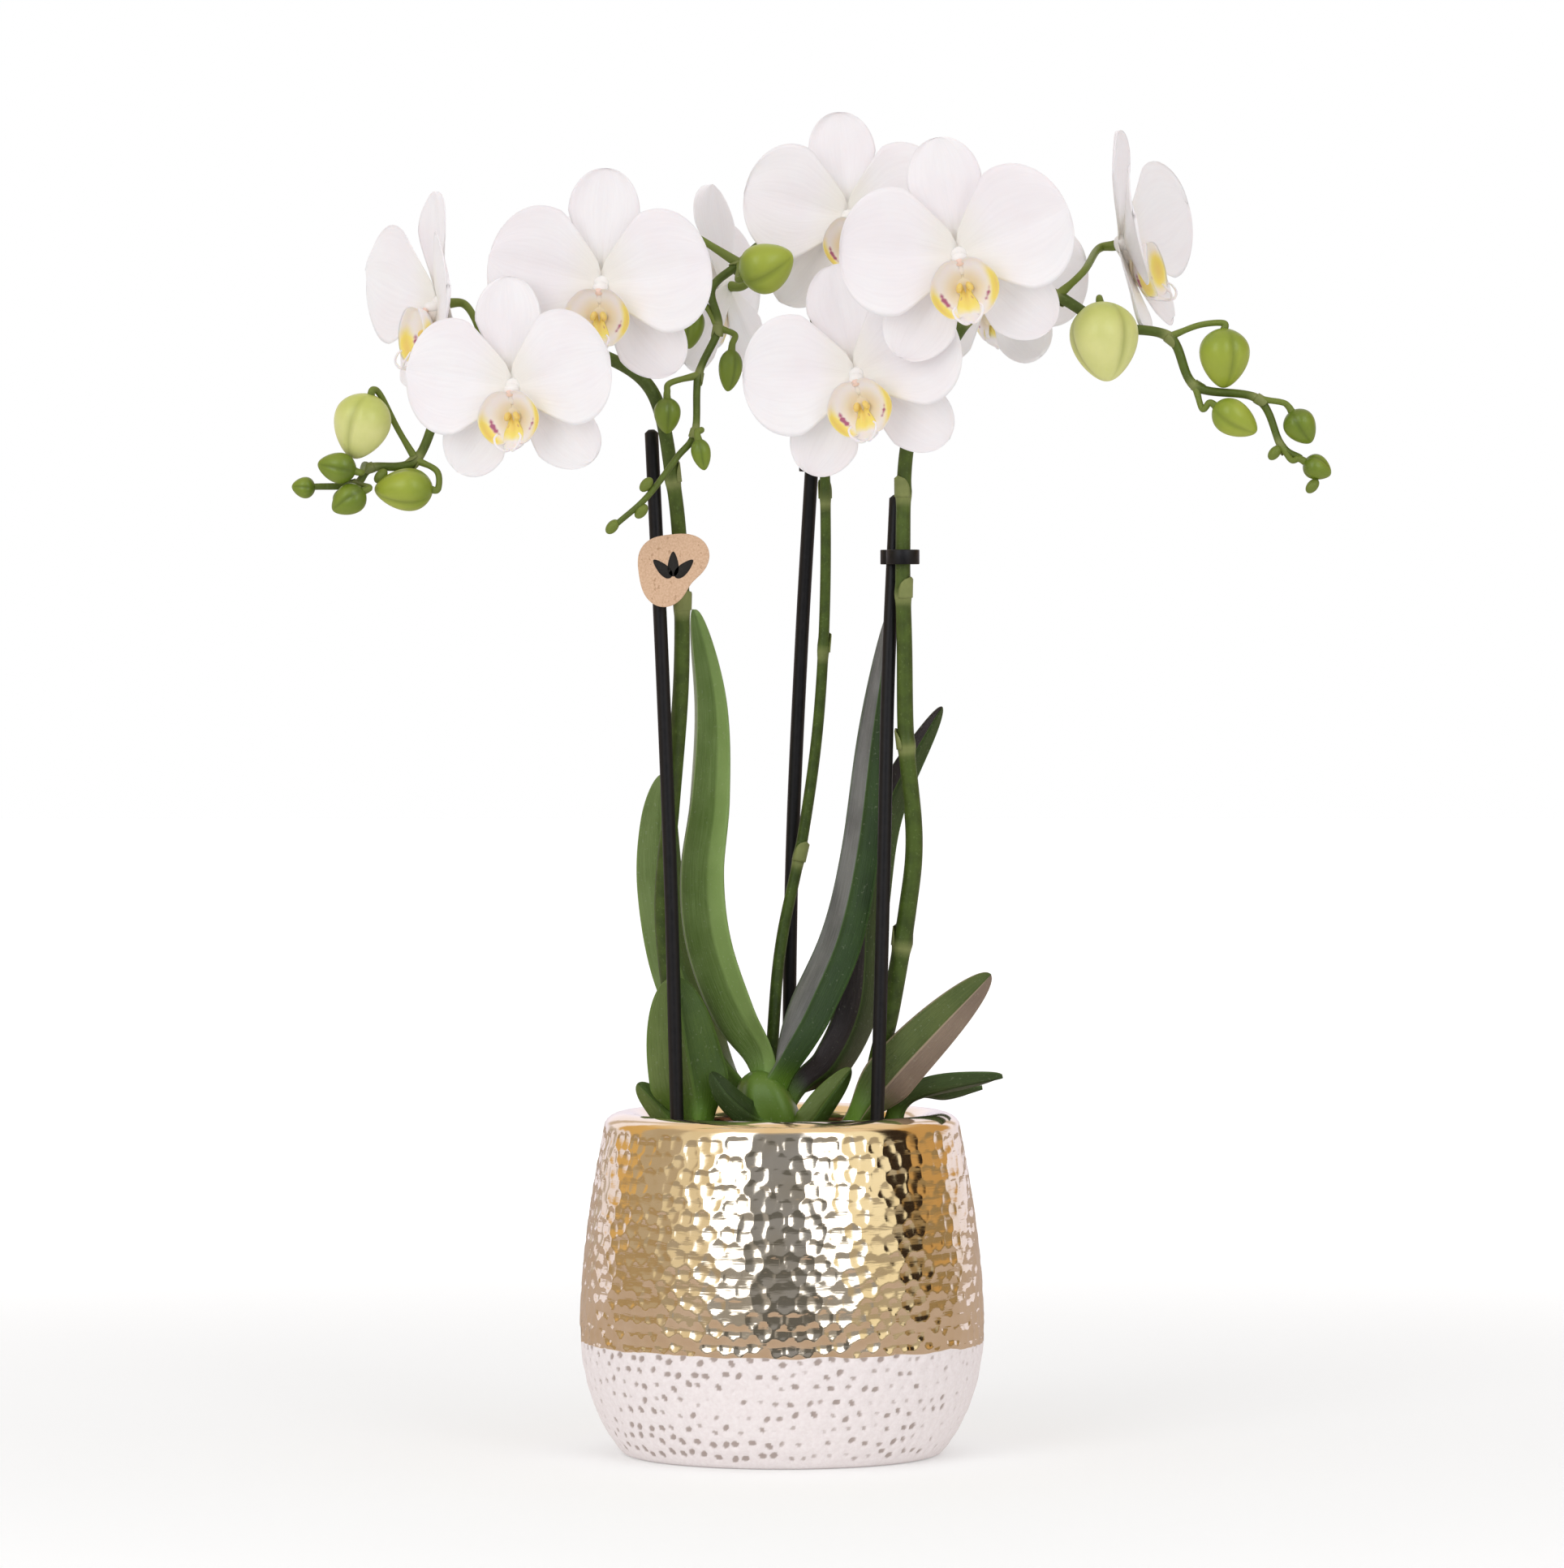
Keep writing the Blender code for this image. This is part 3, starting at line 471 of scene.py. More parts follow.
def add_tube(shape, points, radius_at, steps, sides):
    """Extrudes a ring along a smooth route. Its ends are rounded and closed."""
    ring = bmesh.ops.create_circle(shape, cap_ends=False, segments=sides, radius=1.0)["verts"]
    edges = list({edge for vert in ring for edge in vert.link_edges})
    normal = Vector((0, 1, 0))
    loops = [ring]
    for _ in range(steps + 2):
        grown = bmesh.ops.extrude_edge_only(shape, edges=edges)["geom"]
        edges = [part for part in grown if isinstance(part, bmesh.types.BMEdge)]
        fresh = [part for part in grown if isinstance(part, bmesh.types.BMVert)]
        last = loops[-1]
        follow = {v: o for v in fresh for e in v.link_edges for o in [e.other_vert(v)] if o in set(last)}
        order = {old: new for new, old in follow.items()}
        loops.append([order[vert] for vert in last])
    for index, loop in enumerate(loops):
        t = min(max((index - 1) / steps, 0.0), 1.0)
        ahead = heading(points, t)
        normal = (normal - ahead * normal.dot(ahead)).normalized()
        across = ahead.cross(normal)
        cap = 0.45 if index in (0, len(loops) - 1) else 1.0
        shift = {0: -0.5, len(loops) - 1: 0.5}.get(index, 0.0)
        size = radius_at(t) * cap
        centre = along(points, t) + ahead * shift * radius_at(t)
        for number, vert in enumerate(loop):
            turn = math.tau * number / sides
            vert.co = centre + (normal * math.cos(turn) + across * math.sin(turn)) * size
    for loop in (loops[0][::-1], loops[-1]):
        shape.faces.new(loop)
    return loops


black, wire = finish("black_plastic", Specular_IOR_Level=0.3)
streaks = wire.place().clouds(500.0, 3.0)
wire.feed("Roughness", 0.32 + 0.22 * streaks)
wire.feed("Base Color", streaks.mix((0.004, 0.004, 0.005), (0.013, 0.012, 0.013)))

sticks = {name: [above_bark(point) for point in route] for name, route in STICKS.items()}
for name, points in sticks.items():
    shape = bmesh.new()
    add_tube(shape, points, lambda t: STICK_RADIUS, 60, 16)
    bmesh.ops.recalc_face_normals(shape, faces=shape.faces)
    piece(f"{name}_rod", shape, black, "black_plastic", name)

# ---- leaves
# Eleven thick, folded blades round the crown. The upper side is green and waxy, and the
# underside is paler or flushed brown. Long faint veins run from base to tip. One blade's grey
# half is a painted sheen, and pale lines along the edges and crease are painted highlights.

# Each leaf has its route, half width, turn at base and tip, fold and colour, and how far its crease
# lies to one side.
LEAVES = {
    "leaf_tall_left": (
        [(-4, 0, 15), (-9, 1, 24), (-17, 1, 36), (-25, 2, 58), (-27, 3, 80), (-24, 6, 104), (-23, 9, 132),
         (-27, 13, 162)], 10.5, -60, -35, 0.35, "light", 0.7),
    "leaf_back_left": (
        [(-12.5, 7, 12), (-22, 13, 28), (-32, 18, 50), (-37, 20, 75), (-38, 19, 95), (-37, 17, 111)],
        8.5, 30, 10, 0.3, "back", 0.0),
    "leaf_front_left": (
        [(-25.5, -6, 2), (-30, -6.5, 24), (-33.5, -6.5, 49)], 12.5, -8, 5, 0.15, "fresh", -0.1),
    "leaf_low_left": ([(-32, -1, 2), (-38, -1, 9), (-44.5, -1, 16)], 4.5, 0, 0, 0.1, "fresh", 0.0),
    "leaf_under_left": (
        [(-5, -4, 4), (-11, -9, 7.5), (-17, -11.5, 13), (-22, -12, 20)], 4.5, 15, 15, 0.2, "dark", 0.0),
    "leaf_tall_right": (
        [(-3, -2, 14), (-0.5, -3.5, 25), (7, -3, 41), (16, -2, 62), (22, 0, 88), (27, 3, 124),
         (33.5, 6, 161)], 10.5, -55, -45, 0.35, "silver", -0.45),
    "leaf_slender_right": (
        [(-1, 1, 10), (8, 5, 15), (17, 7, 22), (25, 11, 40), (27.5, 14, 70), (33, 16, 100),
         (49.5, 13, 132)], 8.5, 55, 10, 0.3, "dusky", 0.2),
    "leaf_broad_right": (
        [(21, -8.5, 3), (33, -9, 18), (47, -8, 33), (64, -6, 50)], 8.5, 10, 10, 0.15, "olive", -0.1),
    "leaf_low_right": (
        [(33, 3, 3), (39, 3, 11), (50, 3, 15), (68, 3, 18.5)], 6.0, 65, 50, 0.2, "dark", 0.0),
    "leaf_thin_right": (
        [(33, 13, 4), (42, 14.5, 11.6), (51, 15, 11.5), (62, 13, 14.5)], 3.3, 75, 60, 0.1, "dark", 0.0),
    "leaf_small_front": (
        [(2, -5, 1), (8, -6, 4), (14, -6, 12), (21, -5, 21)], 5.0, 15, 15, 0.2, "fresh", 0.0),
}
# The deep and bright colours of a leaf's right half, then those of its left half.
LEAF_COLOURS = {
    "light": ((0.088, 0.155, 0.024), (0.17, 0.255, 0.075), (0.19, 0.235, 0.125), (0.29, 0.33, 0.21)),
    "back": ((0.06, 0.11, 0.018), (0.105, 0.165, 0.036), (0.11, 0.17, 0.038), (0.17, 0.24, 0.075)),
    "fresh": ((0.038, 0.082, 0.009), (0.072, 0.13, 0.018), (0.1, 0.15, 0.028), (0.145, 0.205, 0.052)),
    # Painted sheen: the grey left half of the silver leaf stands for a gloss reflection.
    "silver": ((0.014, 0.038, 0.006), (0.032, 0.075, 0.012), (0.1, 0.105, 0.1), (0.24, 0.245, 0.235)),
    "dusky": ((0.032, 0.06, 0.01), (0.055, 0.095, 0.018), (0.03, 0.024, 0.025), (0.06, 0.048, 0.048)),
    "dark": ((0.02, 0.042, 0.008), (0.035, 0.068, 0.012), (0.03, 0.06, 0.012), (0.06, 0.105, 0.026)),
    "olive": ((0.2, 0.145, 0.105), (0.28, 0.21, 0.15), (0.06, 0.092, 0.018), (0.11, 0.145, 0.035)),
}


def bell(distance, width):
    """1 at no distance, and falling smoothly away past the width."""
    return math.exp(-((distance / width) ** 2))


def thicken(shape, depth):
    """Gives flat faces a thickness: a copy of them at the depth, and walls between."""
    grown = bmesh.ops.extrude_face_region(shape, geom=shape.faces[:], use_keep_orig=True)
    for part in grown["geom"]:
        if isinstance(part, bmesh.types.BMVert):
            part.co.z = depth


def hold(shape, *names):
    """New values at the vertices, under the names by which the materials read them."""
    return {name: shape.verts.layers.float.new(name) for name in names}


def slab(columns, rows):
    """A closed slab: x -1 to 1 across, y 0 to 1 along, z 0 on its face and 1 on its back."""
    shape = bmesh.new()
    bmesh.ops.create_grid(shape, x_segments=columns, y_segments=rows, size=1.0)
    for vert in shape.verts:
        vert.co.y = (vert.co.y + 1) / 2
    thicken(shape, 1.0)
    return shape


def close(shape):
    """Merges what meets at a tip and turns every face outwards."""
    bmesh.ops.remove_doubles(shape, verts=shape.verts, dist=0.004)
    bmesh.ops.recalc_face_normals(shape, faces=shape.faces)


leaf_finishes = {}
for name, (right_deep, right_bright, left_deep, left_bright) in LEAF_COLOURS.items():
    blade, wire = finish(f"leaf_{name}", Coat_Roughness=0.3, Coat_Weight=0.1, Specular_IOR_Level=0.35,
                         Subsurface_Weight=0.06, Subsurface_Radius=(0.001, 0.002, 0.0006))
    place = wire.place()
    across = wire.held("across")
    length = wire.held("along")
    lines = wire.node("CombineXYZ", {0: across * 24.0, 1: length * 1.6, 2: 0.0})
    veins = lines.clouds(1.0, 3.0)
    mottle = place.clouds(70.0, 4.0)
    specks = place.clouds(1100.0, 1.0)
    shade = mottle.step(0.3, 0.7) * 0.6 + 0.4 * veins.step(0.3, 0.7)
    halves = shade.mix(right_deep, right_bright), shade.mix(left_deep, left_bright)
    surface = across.step(-0.04, 0.04).mix(*halves)
    surface = (1.0 - length.step(0.2, 1.3)).mix(surface, (0.1, 0.205, 0.018))
    # Painted highlight: pale lines along both edges of each blade and down its crease.
    lit = across.math("ABSOLUTE", across)
    painted_highlight_lines = lit.step(0.94, 0.99) * 0.5 + (1.0 - lit.step(0.02, 0.06)) * 0.6
    surface = painted_highlight_lines.mix(surface, tuple(1.7 * c for c in right_bright))
    surface = (specks.step(0.66, 0.74) * 0.12).mix(surface, (0.5, 0.55, 0.4))
    wire.feed("Base Color", surface)
    wire.feed("Roughness", 0.34 + 0.14 * mottle + 0.12 * wire.held("under"))
    wire.feed("Normal", (veins + 0.15 * specks).bump(0.4, 0.0007))
    leaf_finishes[name] = blade


def leaf(name, route, half_width, turn_base, turn_tip, fold, colour, crease):
    """Folds a slab into a blade along the route, narrow and thick at its base."""
    points = [above_bark(point) for point in route]
    shape = slab(18, 60)
    layers = hold(shape, "across", "along", "under")
    for vert in shape.verts:
        share, depth = vert.co.x, vert.co.z
        t = math.sin(vert.co.y * math.pi / 2)
        folded = share - crease * math.cos(share * math.pi / 2)
        vert[layers["across"]] = folded
        vert[layers["along"]] = t * len(route)
        vert[layers["under"]] = depth
        centre = along(points, t)
        ahead = heading(points, t, 0.02)
        flat = ahead.cross(Vector((0, 1, 0))).normalized()
        turn = math.radians(turn_base + (turn_tip - turn_base) * t)
        over = Matrix.Rotation(turn, 3, ahead) @ flat
        face = over.cross(ahead)
        grown = min(t / 0.35, 1.0)
        grown = grown * grown * (3 - 2 * grown)
        width = half_width * math.sqrt(max(0.0, 1 - t**3)) * (0.36 + 0.64 * grown)
        ripple = 0.5 * math.sin(9 * t + 2.5 * share) * share * share * grown
        arch = (fold + 0.5 * (1 - grown)) * width * (abs(folded) ** 1.25) + ripple
        groove = 0.4 * bell(folded, 0.08) * (1 - 2 * depth)
        thick = 0.5 + (1.1 + 4.2 * bell(t, 0.1)) * (1 - abs(share) ** 1.6)
        vert.co = centre + over * share * width + face * (arch - groove - depth * thick)
    close(shape)
    piece(f"{name}_blade", shape, leaf_finishes[colour], "leaf", name)


for name, values in LEAVES.items():
    leaf(name, *values)

# ---- crown
# The short, bright green stem that all the leaves clasp. It stands on the bark, a little off
# the middle of the pot, and is ribbed where the old leaves sat.

CROWN_PROFILE = [(0.0, 0.3), (7.8, 0.3), (9.0, 4.0), (8.9, 9.0), (8.0, 13.5), (6.2, 17.0), (3.4, 19.2),
                 (0.0, 20.0)]
crown_shape = spun(CROWN_PROFILE, 48)
bmesh.ops.subdivide_edges(crown_shape, edges=crown_shape.edges[:], cuts=1, smooth=0.4)
for vert in crown_shape.verts:
    turn = math.atan2(vert.co.y, vert.co.x)
    vert.co.xy *= 1 + 0.12 * math.cos(2 * turn + 0.12 * vert.co.z) + 0.05 * math.sin(5 * turn)
    vert.co += Vector((-3.0 - 0.2 * vert.co.z, 0.0, BARK_TOP))
close(crown_shape)
length_layer = crown_shape.verts.layers.float.new("along")
for vert in crown_shape.verts:
    vert[length_layer] = 0.45 + 0.02 * (vert.co.z - BARK_TOP)
piece("crown_stem", crown_shape, leaf_finishes["fresh"], "stem", "crown")

# ---- flowers
# Ten waxy white flowers. Three sepals sit behind two broad petals, and all are grown together
# with the column, which ends in a peach-coloured cap. The petals are thin, with faint veins.

# Each flower has its centre, turn, nod, roll, size and cup.
FLOWERS = {
    "left_1": ((-54.5, -42, 260.5), -8, 4, -2, 1.02, 0.0),
    "left_2": ((-81, -50, 229.5), -14, 4, 4, 0.96, 0.0),
    "left_3": ((-104.5, -16, 255.5), -65, 0, -6, 1.0, 0.2),
    "middle_1": ((22.5, -40, 233), -10, 4, 13, 1.0, 0.0),
    "middle_2": ((20, -3, 282.5), 10, -8, 2, 0.98, 0.0),
    "middle_3": ((-17.5, 21, 262), -126, 4, 0, 0.95, 0.2),
    "middle_4": ((-47, 1, 262), -130, 10, 15, 0.85, 0.2),
    "right_1": ((53, -58, 268.5), -3, 2, 11, 1.05, 0.0),
    "right_2": ((64.5, 8, 262), 150, 10, 0, 0.88, 0.1),
    "right_3": ((104.5, 2, 274.5), 72, -12, 6, 1.0, 0.3),
}
PETAL_LENGTH = 34.0
PETAL_ROOT = 0.6
TEPAL_THICKNESS = 0.55
SEPAL = {"half_width": 10.8, "sweep": -0.04, "curl": 0.05, "claw": 2.0, "early": 1.35, "spread": 0.38}
PETAL = {"half_width": 18.5, "sweep": 0.16, "curl": 0.06, "claw": 3.0, "early": 1.2, "spread": 0.55}
# The angle and the layer of each: three sepals behind two petals.
TEPALS = [(90, -0.4, SEPAL), (229, -0.9, SEPAL), (311, -1.9, SEPAL), (13, 1.0, PETAL), (167, 1.3, PETAL)]
# The radii and the place of each rounded part of the column, and what it holds.
COLUMN = [
    ((2.8, 2.8, 2.4), (0, 0, 0), {"along": 0.2}),
    ((1.8, 4.2, 1.6), (0, -3.5, 0.4), {"along": 0.2}),
    ((2.3, 1.9, 3.1), (0, -1.3, 2.0), {"along": 0.2}),
    ((2.1, 3.2, 2.8), (0, -3.2, 1.6), {"peach": 0.12}),
    ((1.4, 1.1, 0.9), (0, -2.4, 4.8), {"peach": 0.7}),
]


def facing_frame(centre, turn, nod, roll, size=1.0):
    """A frame whose Z looks out of a flower. Turn 0 looks along -Y, and a positive nod looks down."""
    rotation = (
        Matrix.Rotation(math.radians(turn), 4, "Z")
        @ Matrix.Rotation(math.radians(90 + nod), 4, "X")
        @ Matrix.Rotation(math.radians(roll), 4, "Z")
    )
    return Matrix.Translation(above_bark(centre)) @ rotation @ Matrix.Scale(size, 4)


petal, wire = finish("petal_skin", Roughness=0.5, Sheen_Weight=0.12, Sheen_Roughness=0.4,
                     Subsurface_Weight=0.35, Subsurface_Radius=(0.004, 0.0035, 0.0032),
                     Specular_IOR_Level=0.35)
place = wire.place()
across = wire.held("across")
length = wire.held("along")
fan = wire.node("CombineXYZ", {0: across * 17.0, 1: length * 2.2, 2: 0.0})
veins = fan.clouds(1.0)
cloud = place.clouds(45.0)
sparkle = place.clouds(2200.0, 1.0)
white = cloud.step(0.3, 0.7).mix((0.925, 0.885, 0.9), (0.95, 0.93, 0.937))
white = ((veins - 0.5) * 0.7 + 0.1).mix(white, (0.85, 0.81, 0.825))
throat = (1.0 - length.step(0.05, 0.4)) * 0.45
white = throat.mix(white, (0.87, 0.85, 0.70))
wire.feed("Base Color", wire.held("peach").mix(white, (0.88, 0.58, 0.46)))
wire.feed("Normal", (veins + 0.12 * sparkle).bump(0.2, 0.0005))


def add_tepal(shape, matrix, angle, layer, cup, seed, half_width, sweep, curl, claw, early, spread):
    """Adds one petal or sepal to a flower: a thin blade from the column out to the angle."""
    blade = slab(26, 26)
    layers = hold(blade, "across", "along", "peach")
    for vert in blade.verts:
        share, depth = vert.co.x, vert.co.z
        t = math.sin(vert.co.y * math.pi / 2)
        vert[layers["across"]] = share + seed
        vert[layers["along"]] = t
        swell = math.sin(math.pi * min(t, 1.0) ** early) ** 0.44 * min(1.0, spread + t) if t < 1 else 0.0
        width = claw * (1 - t) + (half_width - claw * (1 - t)) * swell
        reach = PETAL_ROOT + (PETAL_LENGTH - PETAL_ROOT) * t
        ripple = 1.2 * math.sin(5.5 * t + 3.2 * share + seed) * t * share * share
        keel = 1.3 * bell(share, 0.2) * (1 - t) * t * 2
        dish = 0.14 * width * share * share * (1 - 0.8 * t)
        rise = layer + reach * (cup + sweep) - PETAL_LENGTH * curl * t * t + ripple - keel + dish
        rise -= depth * TEPAL_THICKNESS * (1 - 0.45 * abs(share) ** 3)
        vert.co = Vector((reach, share * width, rise))
    close(blade)
    blade.transform(matrix @ Matrix.Rotation(math.radians(angle), 4, "Z"))
    add_shape(shape, blade)


def add_shape(shape, other):
    """Moves a finished bmesh into another one, with its attributes."""
    passing = bpy.data.meshes.new("passing")
    other.to_mesh(passing)
    other.free()
    shape.from_mesh(passing)
    bpy.data.meshes.remove(passing)


def add_ball(shape, radii, matrix, columns=20, rows=14, **held):
    """Adds an egg-shaped body in the frame that the matrix gives. Its vertices hold the values."""
    made = bmesh.ops.create_uvsphere(shape, u_segments=columns, v_segments=rows, radius=1.0)["verts"]
    bmesh.ops.scale(shape, vec=radii, verts=made)
    bmesh.ops.transform(shape, matrix=matrix, verts=made)
    for name, value in held.items():
        for vert in made:
            vert[shape.verts.layers.float[name]] = value


def flower(name, centre, turn, nod, roll, size, cup):
    matrix = facing_frame(centre, turn, nod, roll, size)
    shape = bmesh.new()
    hold(shape, "across", "along", "peach")
    seed = float(sum(ord(letter) for letter in name) % 9)
    for angle, layer, kind in TEPALS:
        add_tepal(shape, matrix, angle, layer, cup, seed + angle, **kind)
    for radii, spot, held in COLUMN:
        add_ball(shape, radii, matrix @ Matrix.Translation(spot), **held)
    piece(f"petals_{name}", shape, petal, "petal", f"flower_{name}")


for name, values in FLOWERS.items():
    flower(name, *values)

# ---- lips
# Each flower's lip is hinged on the column's foot. Two side lobes stand up round the column,
# yellow outside and striped with purple, and the middle lobe ends in two white tendrils.

lip_skin, wire = finish("lip_skin", Roughness=0.42, Subsurface_Weight=0.3,
                        Subsurface_Radius=(0.003, 0.002, 0.001))
yellow = wire.held("yellow")
cloud = wire.place().clouds(500.0)
# Painted shade: the inside of the bowl, where the deep value is high, turns beige.
surface = wire.held("deep").step(0.0, 0.8).mix((0.93, 0.885, 0.885), (0.87, 0.76, 0.56))
golden = yellow.step(0.5, 1.25).mix((0.96, 0.81, 0.2), (0.88, 0.66, 0.2))
surface = (yellow * (0.8 + 0.4 * cloud)).step(0.1, 0.7).mix(surface, golden)
stripe = (wire.held("stripe") * (0.7 + 0.6 * cloud)).step(0.25, 0.7)
wire.feed("Base Color", stripe.mix(surface, (0.45, 0.12, 0.24)))
wire.feed("Normal", cloud.bump(0.2, 0.0003))

LIP_LAYERS = ("yellow", "stripe", "deep")
BOWL_BELOW = -10.2
BOWL_WIDTH = 11.0
BOWL_HEIGHT = 11.4
TONGUE_ROUTE = [Vector((0, -8.5, 2.4)), Vector((0, -13.0, 3.6)), Vector((0, -17.6, 6.2)),
                Vector((0, -20.2, 10.2))]
TENDRIL_BENDS = [(0.5, -20.0, 9.8), (1.7, -20.0, 11.9), (3.6, -18.2, 12.6), (4.3, -16.0, 11.6),
                 (3.5, -14.9, 10.6)]


def add_side_lobe(shape, matrix, side):
    """Adds half of the bowl that stands round the column."""
    lobe = slab(14, 30)
    layers = hold(lobe, *LIP_LAYERS)
    for vert in lobe.verts:
        share, t, depth = (vert.co.x + 1) / 2, vert.co.y, vert.co.z
        turn = math.radians(14 + 161 * t)
        narrow = 1 - 0.2 * max(0.0, (t - 0.75) / 0.25) ** 2 - 0.3 * max(0.0, 1 - t / 0.2) ** 2
        out = 0.2 + 0.8 * share * narrow
        rise = 2.2 + 6.6 * (share * narrow) ** 1.7 + 0.5 * depth
        curled = out - 0.13 * max(0.0, share - 0.72) / 0.28 * narrow
        waist = 1 - 0.05 * math.sin(3 * turn)
        vert.co = Vector((side * BOWL_WIDTH * waist * curled * math.sin(turn),
                          BOWL_BELOW - BOWL_HEIGHT * curled * math.cos(turn), rise))
        wall = bell(share - 0.78, 0.24)
        low = bell(t - (0.3 if side < 0 else 0.46), 0.24)
        vert[layers["yellow"]] = wall * low
        mark = bell(share - 0.5, 0.09) * bell(t - 0.34, 0.16)
        vert[layers["stripe"]] = mark * (0.8 + 0.2 * math.cos(70 * t)) * (0.75 if side > 0 else 1.1)
        # The deep value sets the painted beige shade inside the bowl.
        vert[layers["deep"]] = max(0.0, 1 - share / 0.62)
    close(lobe)
    lobe.transform(matrix)
    add_shape(shape, lobe)


def add_middle_lobe(shape, matrix):
    """Adds the tongue that runs out of the bowl and turns up at its end."""
    tongue = slab(16, 24)
    layers = hold(tongue, *LIP_LAYERS)
    for vert in tongue.verts:
        share, t, depth = vert.co.x, vert.co.y, vert.co.z
        width = 1.7 + 2.2 * math.sin(math.pi * max(0.0, min(1.0, t * 1.3 - 0.3))) ** 1.2 - 0.7 * t * t
        keel = 0.9 * bell(share, 0.22) * (1 - t)
        vert[layers["yellow"]] = 1.15 * max(0.0, 1 - (t / 0.72) ** 3) * (1 - 0.35 * abs(share))
        vert[layers["stripe"]] = 0.55 * bell(t - 0.32, 0.07) * bell(abs(share) - 0.7, 0.2)
        face = Vector((1, 0, 0)).cross(heading(TONGUE_ROUTE, t, 0.02))
        lift = 0.3 * width * share * share + keel - 0.6 * depth
        vert.co = along(TONGUE_ROUTE, t) + Vector((share * width, 0, 0)) + face * lift
    close(tongue)
    tongue.transform(matrix)
    add_shape(shape, tongue)


def lip(name, centre, turn, nod, roll, size, _cup):
    matrix = facing_frame(centre, turn, nod, roll, size)
    shape = bmesh.new()
    hold(shape, *LIP_LAYERS)
    for side in (1, -1):
        add_side_lobe(shape, matrix, side)
    add_middle_lobe(shape, matrix)
    # The pad on the bowl's floor takes the full painted beige shade.
    add_ball(shape, (3.4, 4.6, 1.0), matrix @ Matrix.Translation((0, -9.4, 2.0)), deep=1.0)
    for side in (-1, 1):
        horn = Matrix.Translation((1.5 * side, -9.6, 4.6)) @ Matrix.Rotation(0.4 * side, 4, "Z")
        add_ball(shape, (0.95, 1.5, 1.7), matrix @ horn, 14, 10, yellow=1.3)
        tendril = [matrix @ Vector((side * x, y, z)) for x, y, z in TENDRIL_BENDS]
        add_tube(shape, tendril, lambda t: 0.5 - 0.22 * t, 18, 8)
    bmesh.ops.recalc_face_normals(shape, faces=shape.faces)
    piece(f"lobes_{name}", shape, lip_skin, "lip", f"lip_{name}")


for name, values in FLOWERS.items():
    lip(name, *values)

# ---- buds
# Closed sepals in the shape of a blunt egg, with the seams where they will open. The older
# a bud is, the bigger and paler it is.

# Each bud has its centre, half length, half width, and the way it points.
BUDS = {
    "left_1": ((-127.5, -32, 217.5), 9.6, 8.6, (-0.3, 0.1, -1)),
    "left_2": ((-115, -30, 198.5), 8.4, 6.4, (-1, 0, 0)),
    "left_3": ((-135, -35, 205), 5.6, 4.6, (-1, 0, 0.2)),
    "left_4": ((-131.5, -34.5, 195), 5.4, 4.6, (-0.8, 0, -0.5)),
    "left_5": ((-145.5, -29, 199), 3.4, 3.2, (-1, 0, 0.1)),
    "middle_1": ((-4.5, -23, 266.5), 8.2, 7.6, (0.9, -0.3, 0.4)),
    "middle_2": ((-16, -16, 235), 6.1, 3.6, (-0.1, 0, -1)),
    "middle_3": ((-27.5, -9, 248), 6.0, 3.6, (-0.2, 0.2, -1)),
    "middle_4": ((-35, -23, 221), 5.2, 4.0, (0, 0, -1)),
    "middle_5": ((-24.5, -30, 209), 4.6, 2.9, (0.2, 0, -1)),
    "right_1": ((97.5, -37.5, 243), 11.6, 10.2, (0.1, -0.2, -1)),
    "right_2": ((134.5, -24, 238.5), 8.6, 7.6, (0, 0, -1)),
    "right_3": ((138, -26, 220), 7.2, 5.4, (0.8, 0, -0.5)),
    "right_4": ((158, -26, 217.5), 5.4, 4.8, (0.5, 0, -0.8)),
    "right_5": ((163, -26, 205), 4.3, 3.8, (0.8, 0, -0.4)),
}
# Each age has a shaded and a lit copy of its green: painted shade and light.
BUD_COLOURS = {
    "ripe": ((0.47, 0.53, 0.1), (0.77, 0.77, 0.32)),
    "green": ((0.2, 0.28, 0.018), (0.40, 0.47, 0.05)),
    "young": ((0.1, 0.16, 0.008), (0.21, 0.29, 0.02)),
}
RIPE_HALF_WIDTH = 8
GREEN_HALF_WIDTH = 5

bud_finishes = {}
for name, (deep, lit_tone) in BUD_COLOURS.items():
    skin, wire = finish(f"bud_{name}", Subsurface_Weight=0.15, Coat_Weight=0.3, Coat_Roughness=0.22,
                        Subsurface_Radius=(0.002, 0.002, 0.0006))
    place = wire.place()
    mottle = place.clouds(160.0, 3.0)
    pores = place.clouds(1400.0, 1.0)
    # Painted light and shade: the deep and the bright colour are a shaded and a lit copy of the bud's
    # green, spread from base to tip and by the mottle.
    surface = (0.65 * wire.held("along").step(0.0, 0.55) + 0.5 * mottle - 0.15).mix(deep, lit_tone)
    surface = (wire.held("seam") * 0.5).mix(surface, tuple(0.6 * c for c in deep))
    wire.feed("Base Color", surface)
    wire.feed("Roughness", 0.38 + 0.15 * mottle)
    wire.feed("Normal", (mottle + 0.3 * pores).bump(0.2, 0.0004))
    bud_finishes[name] = skin


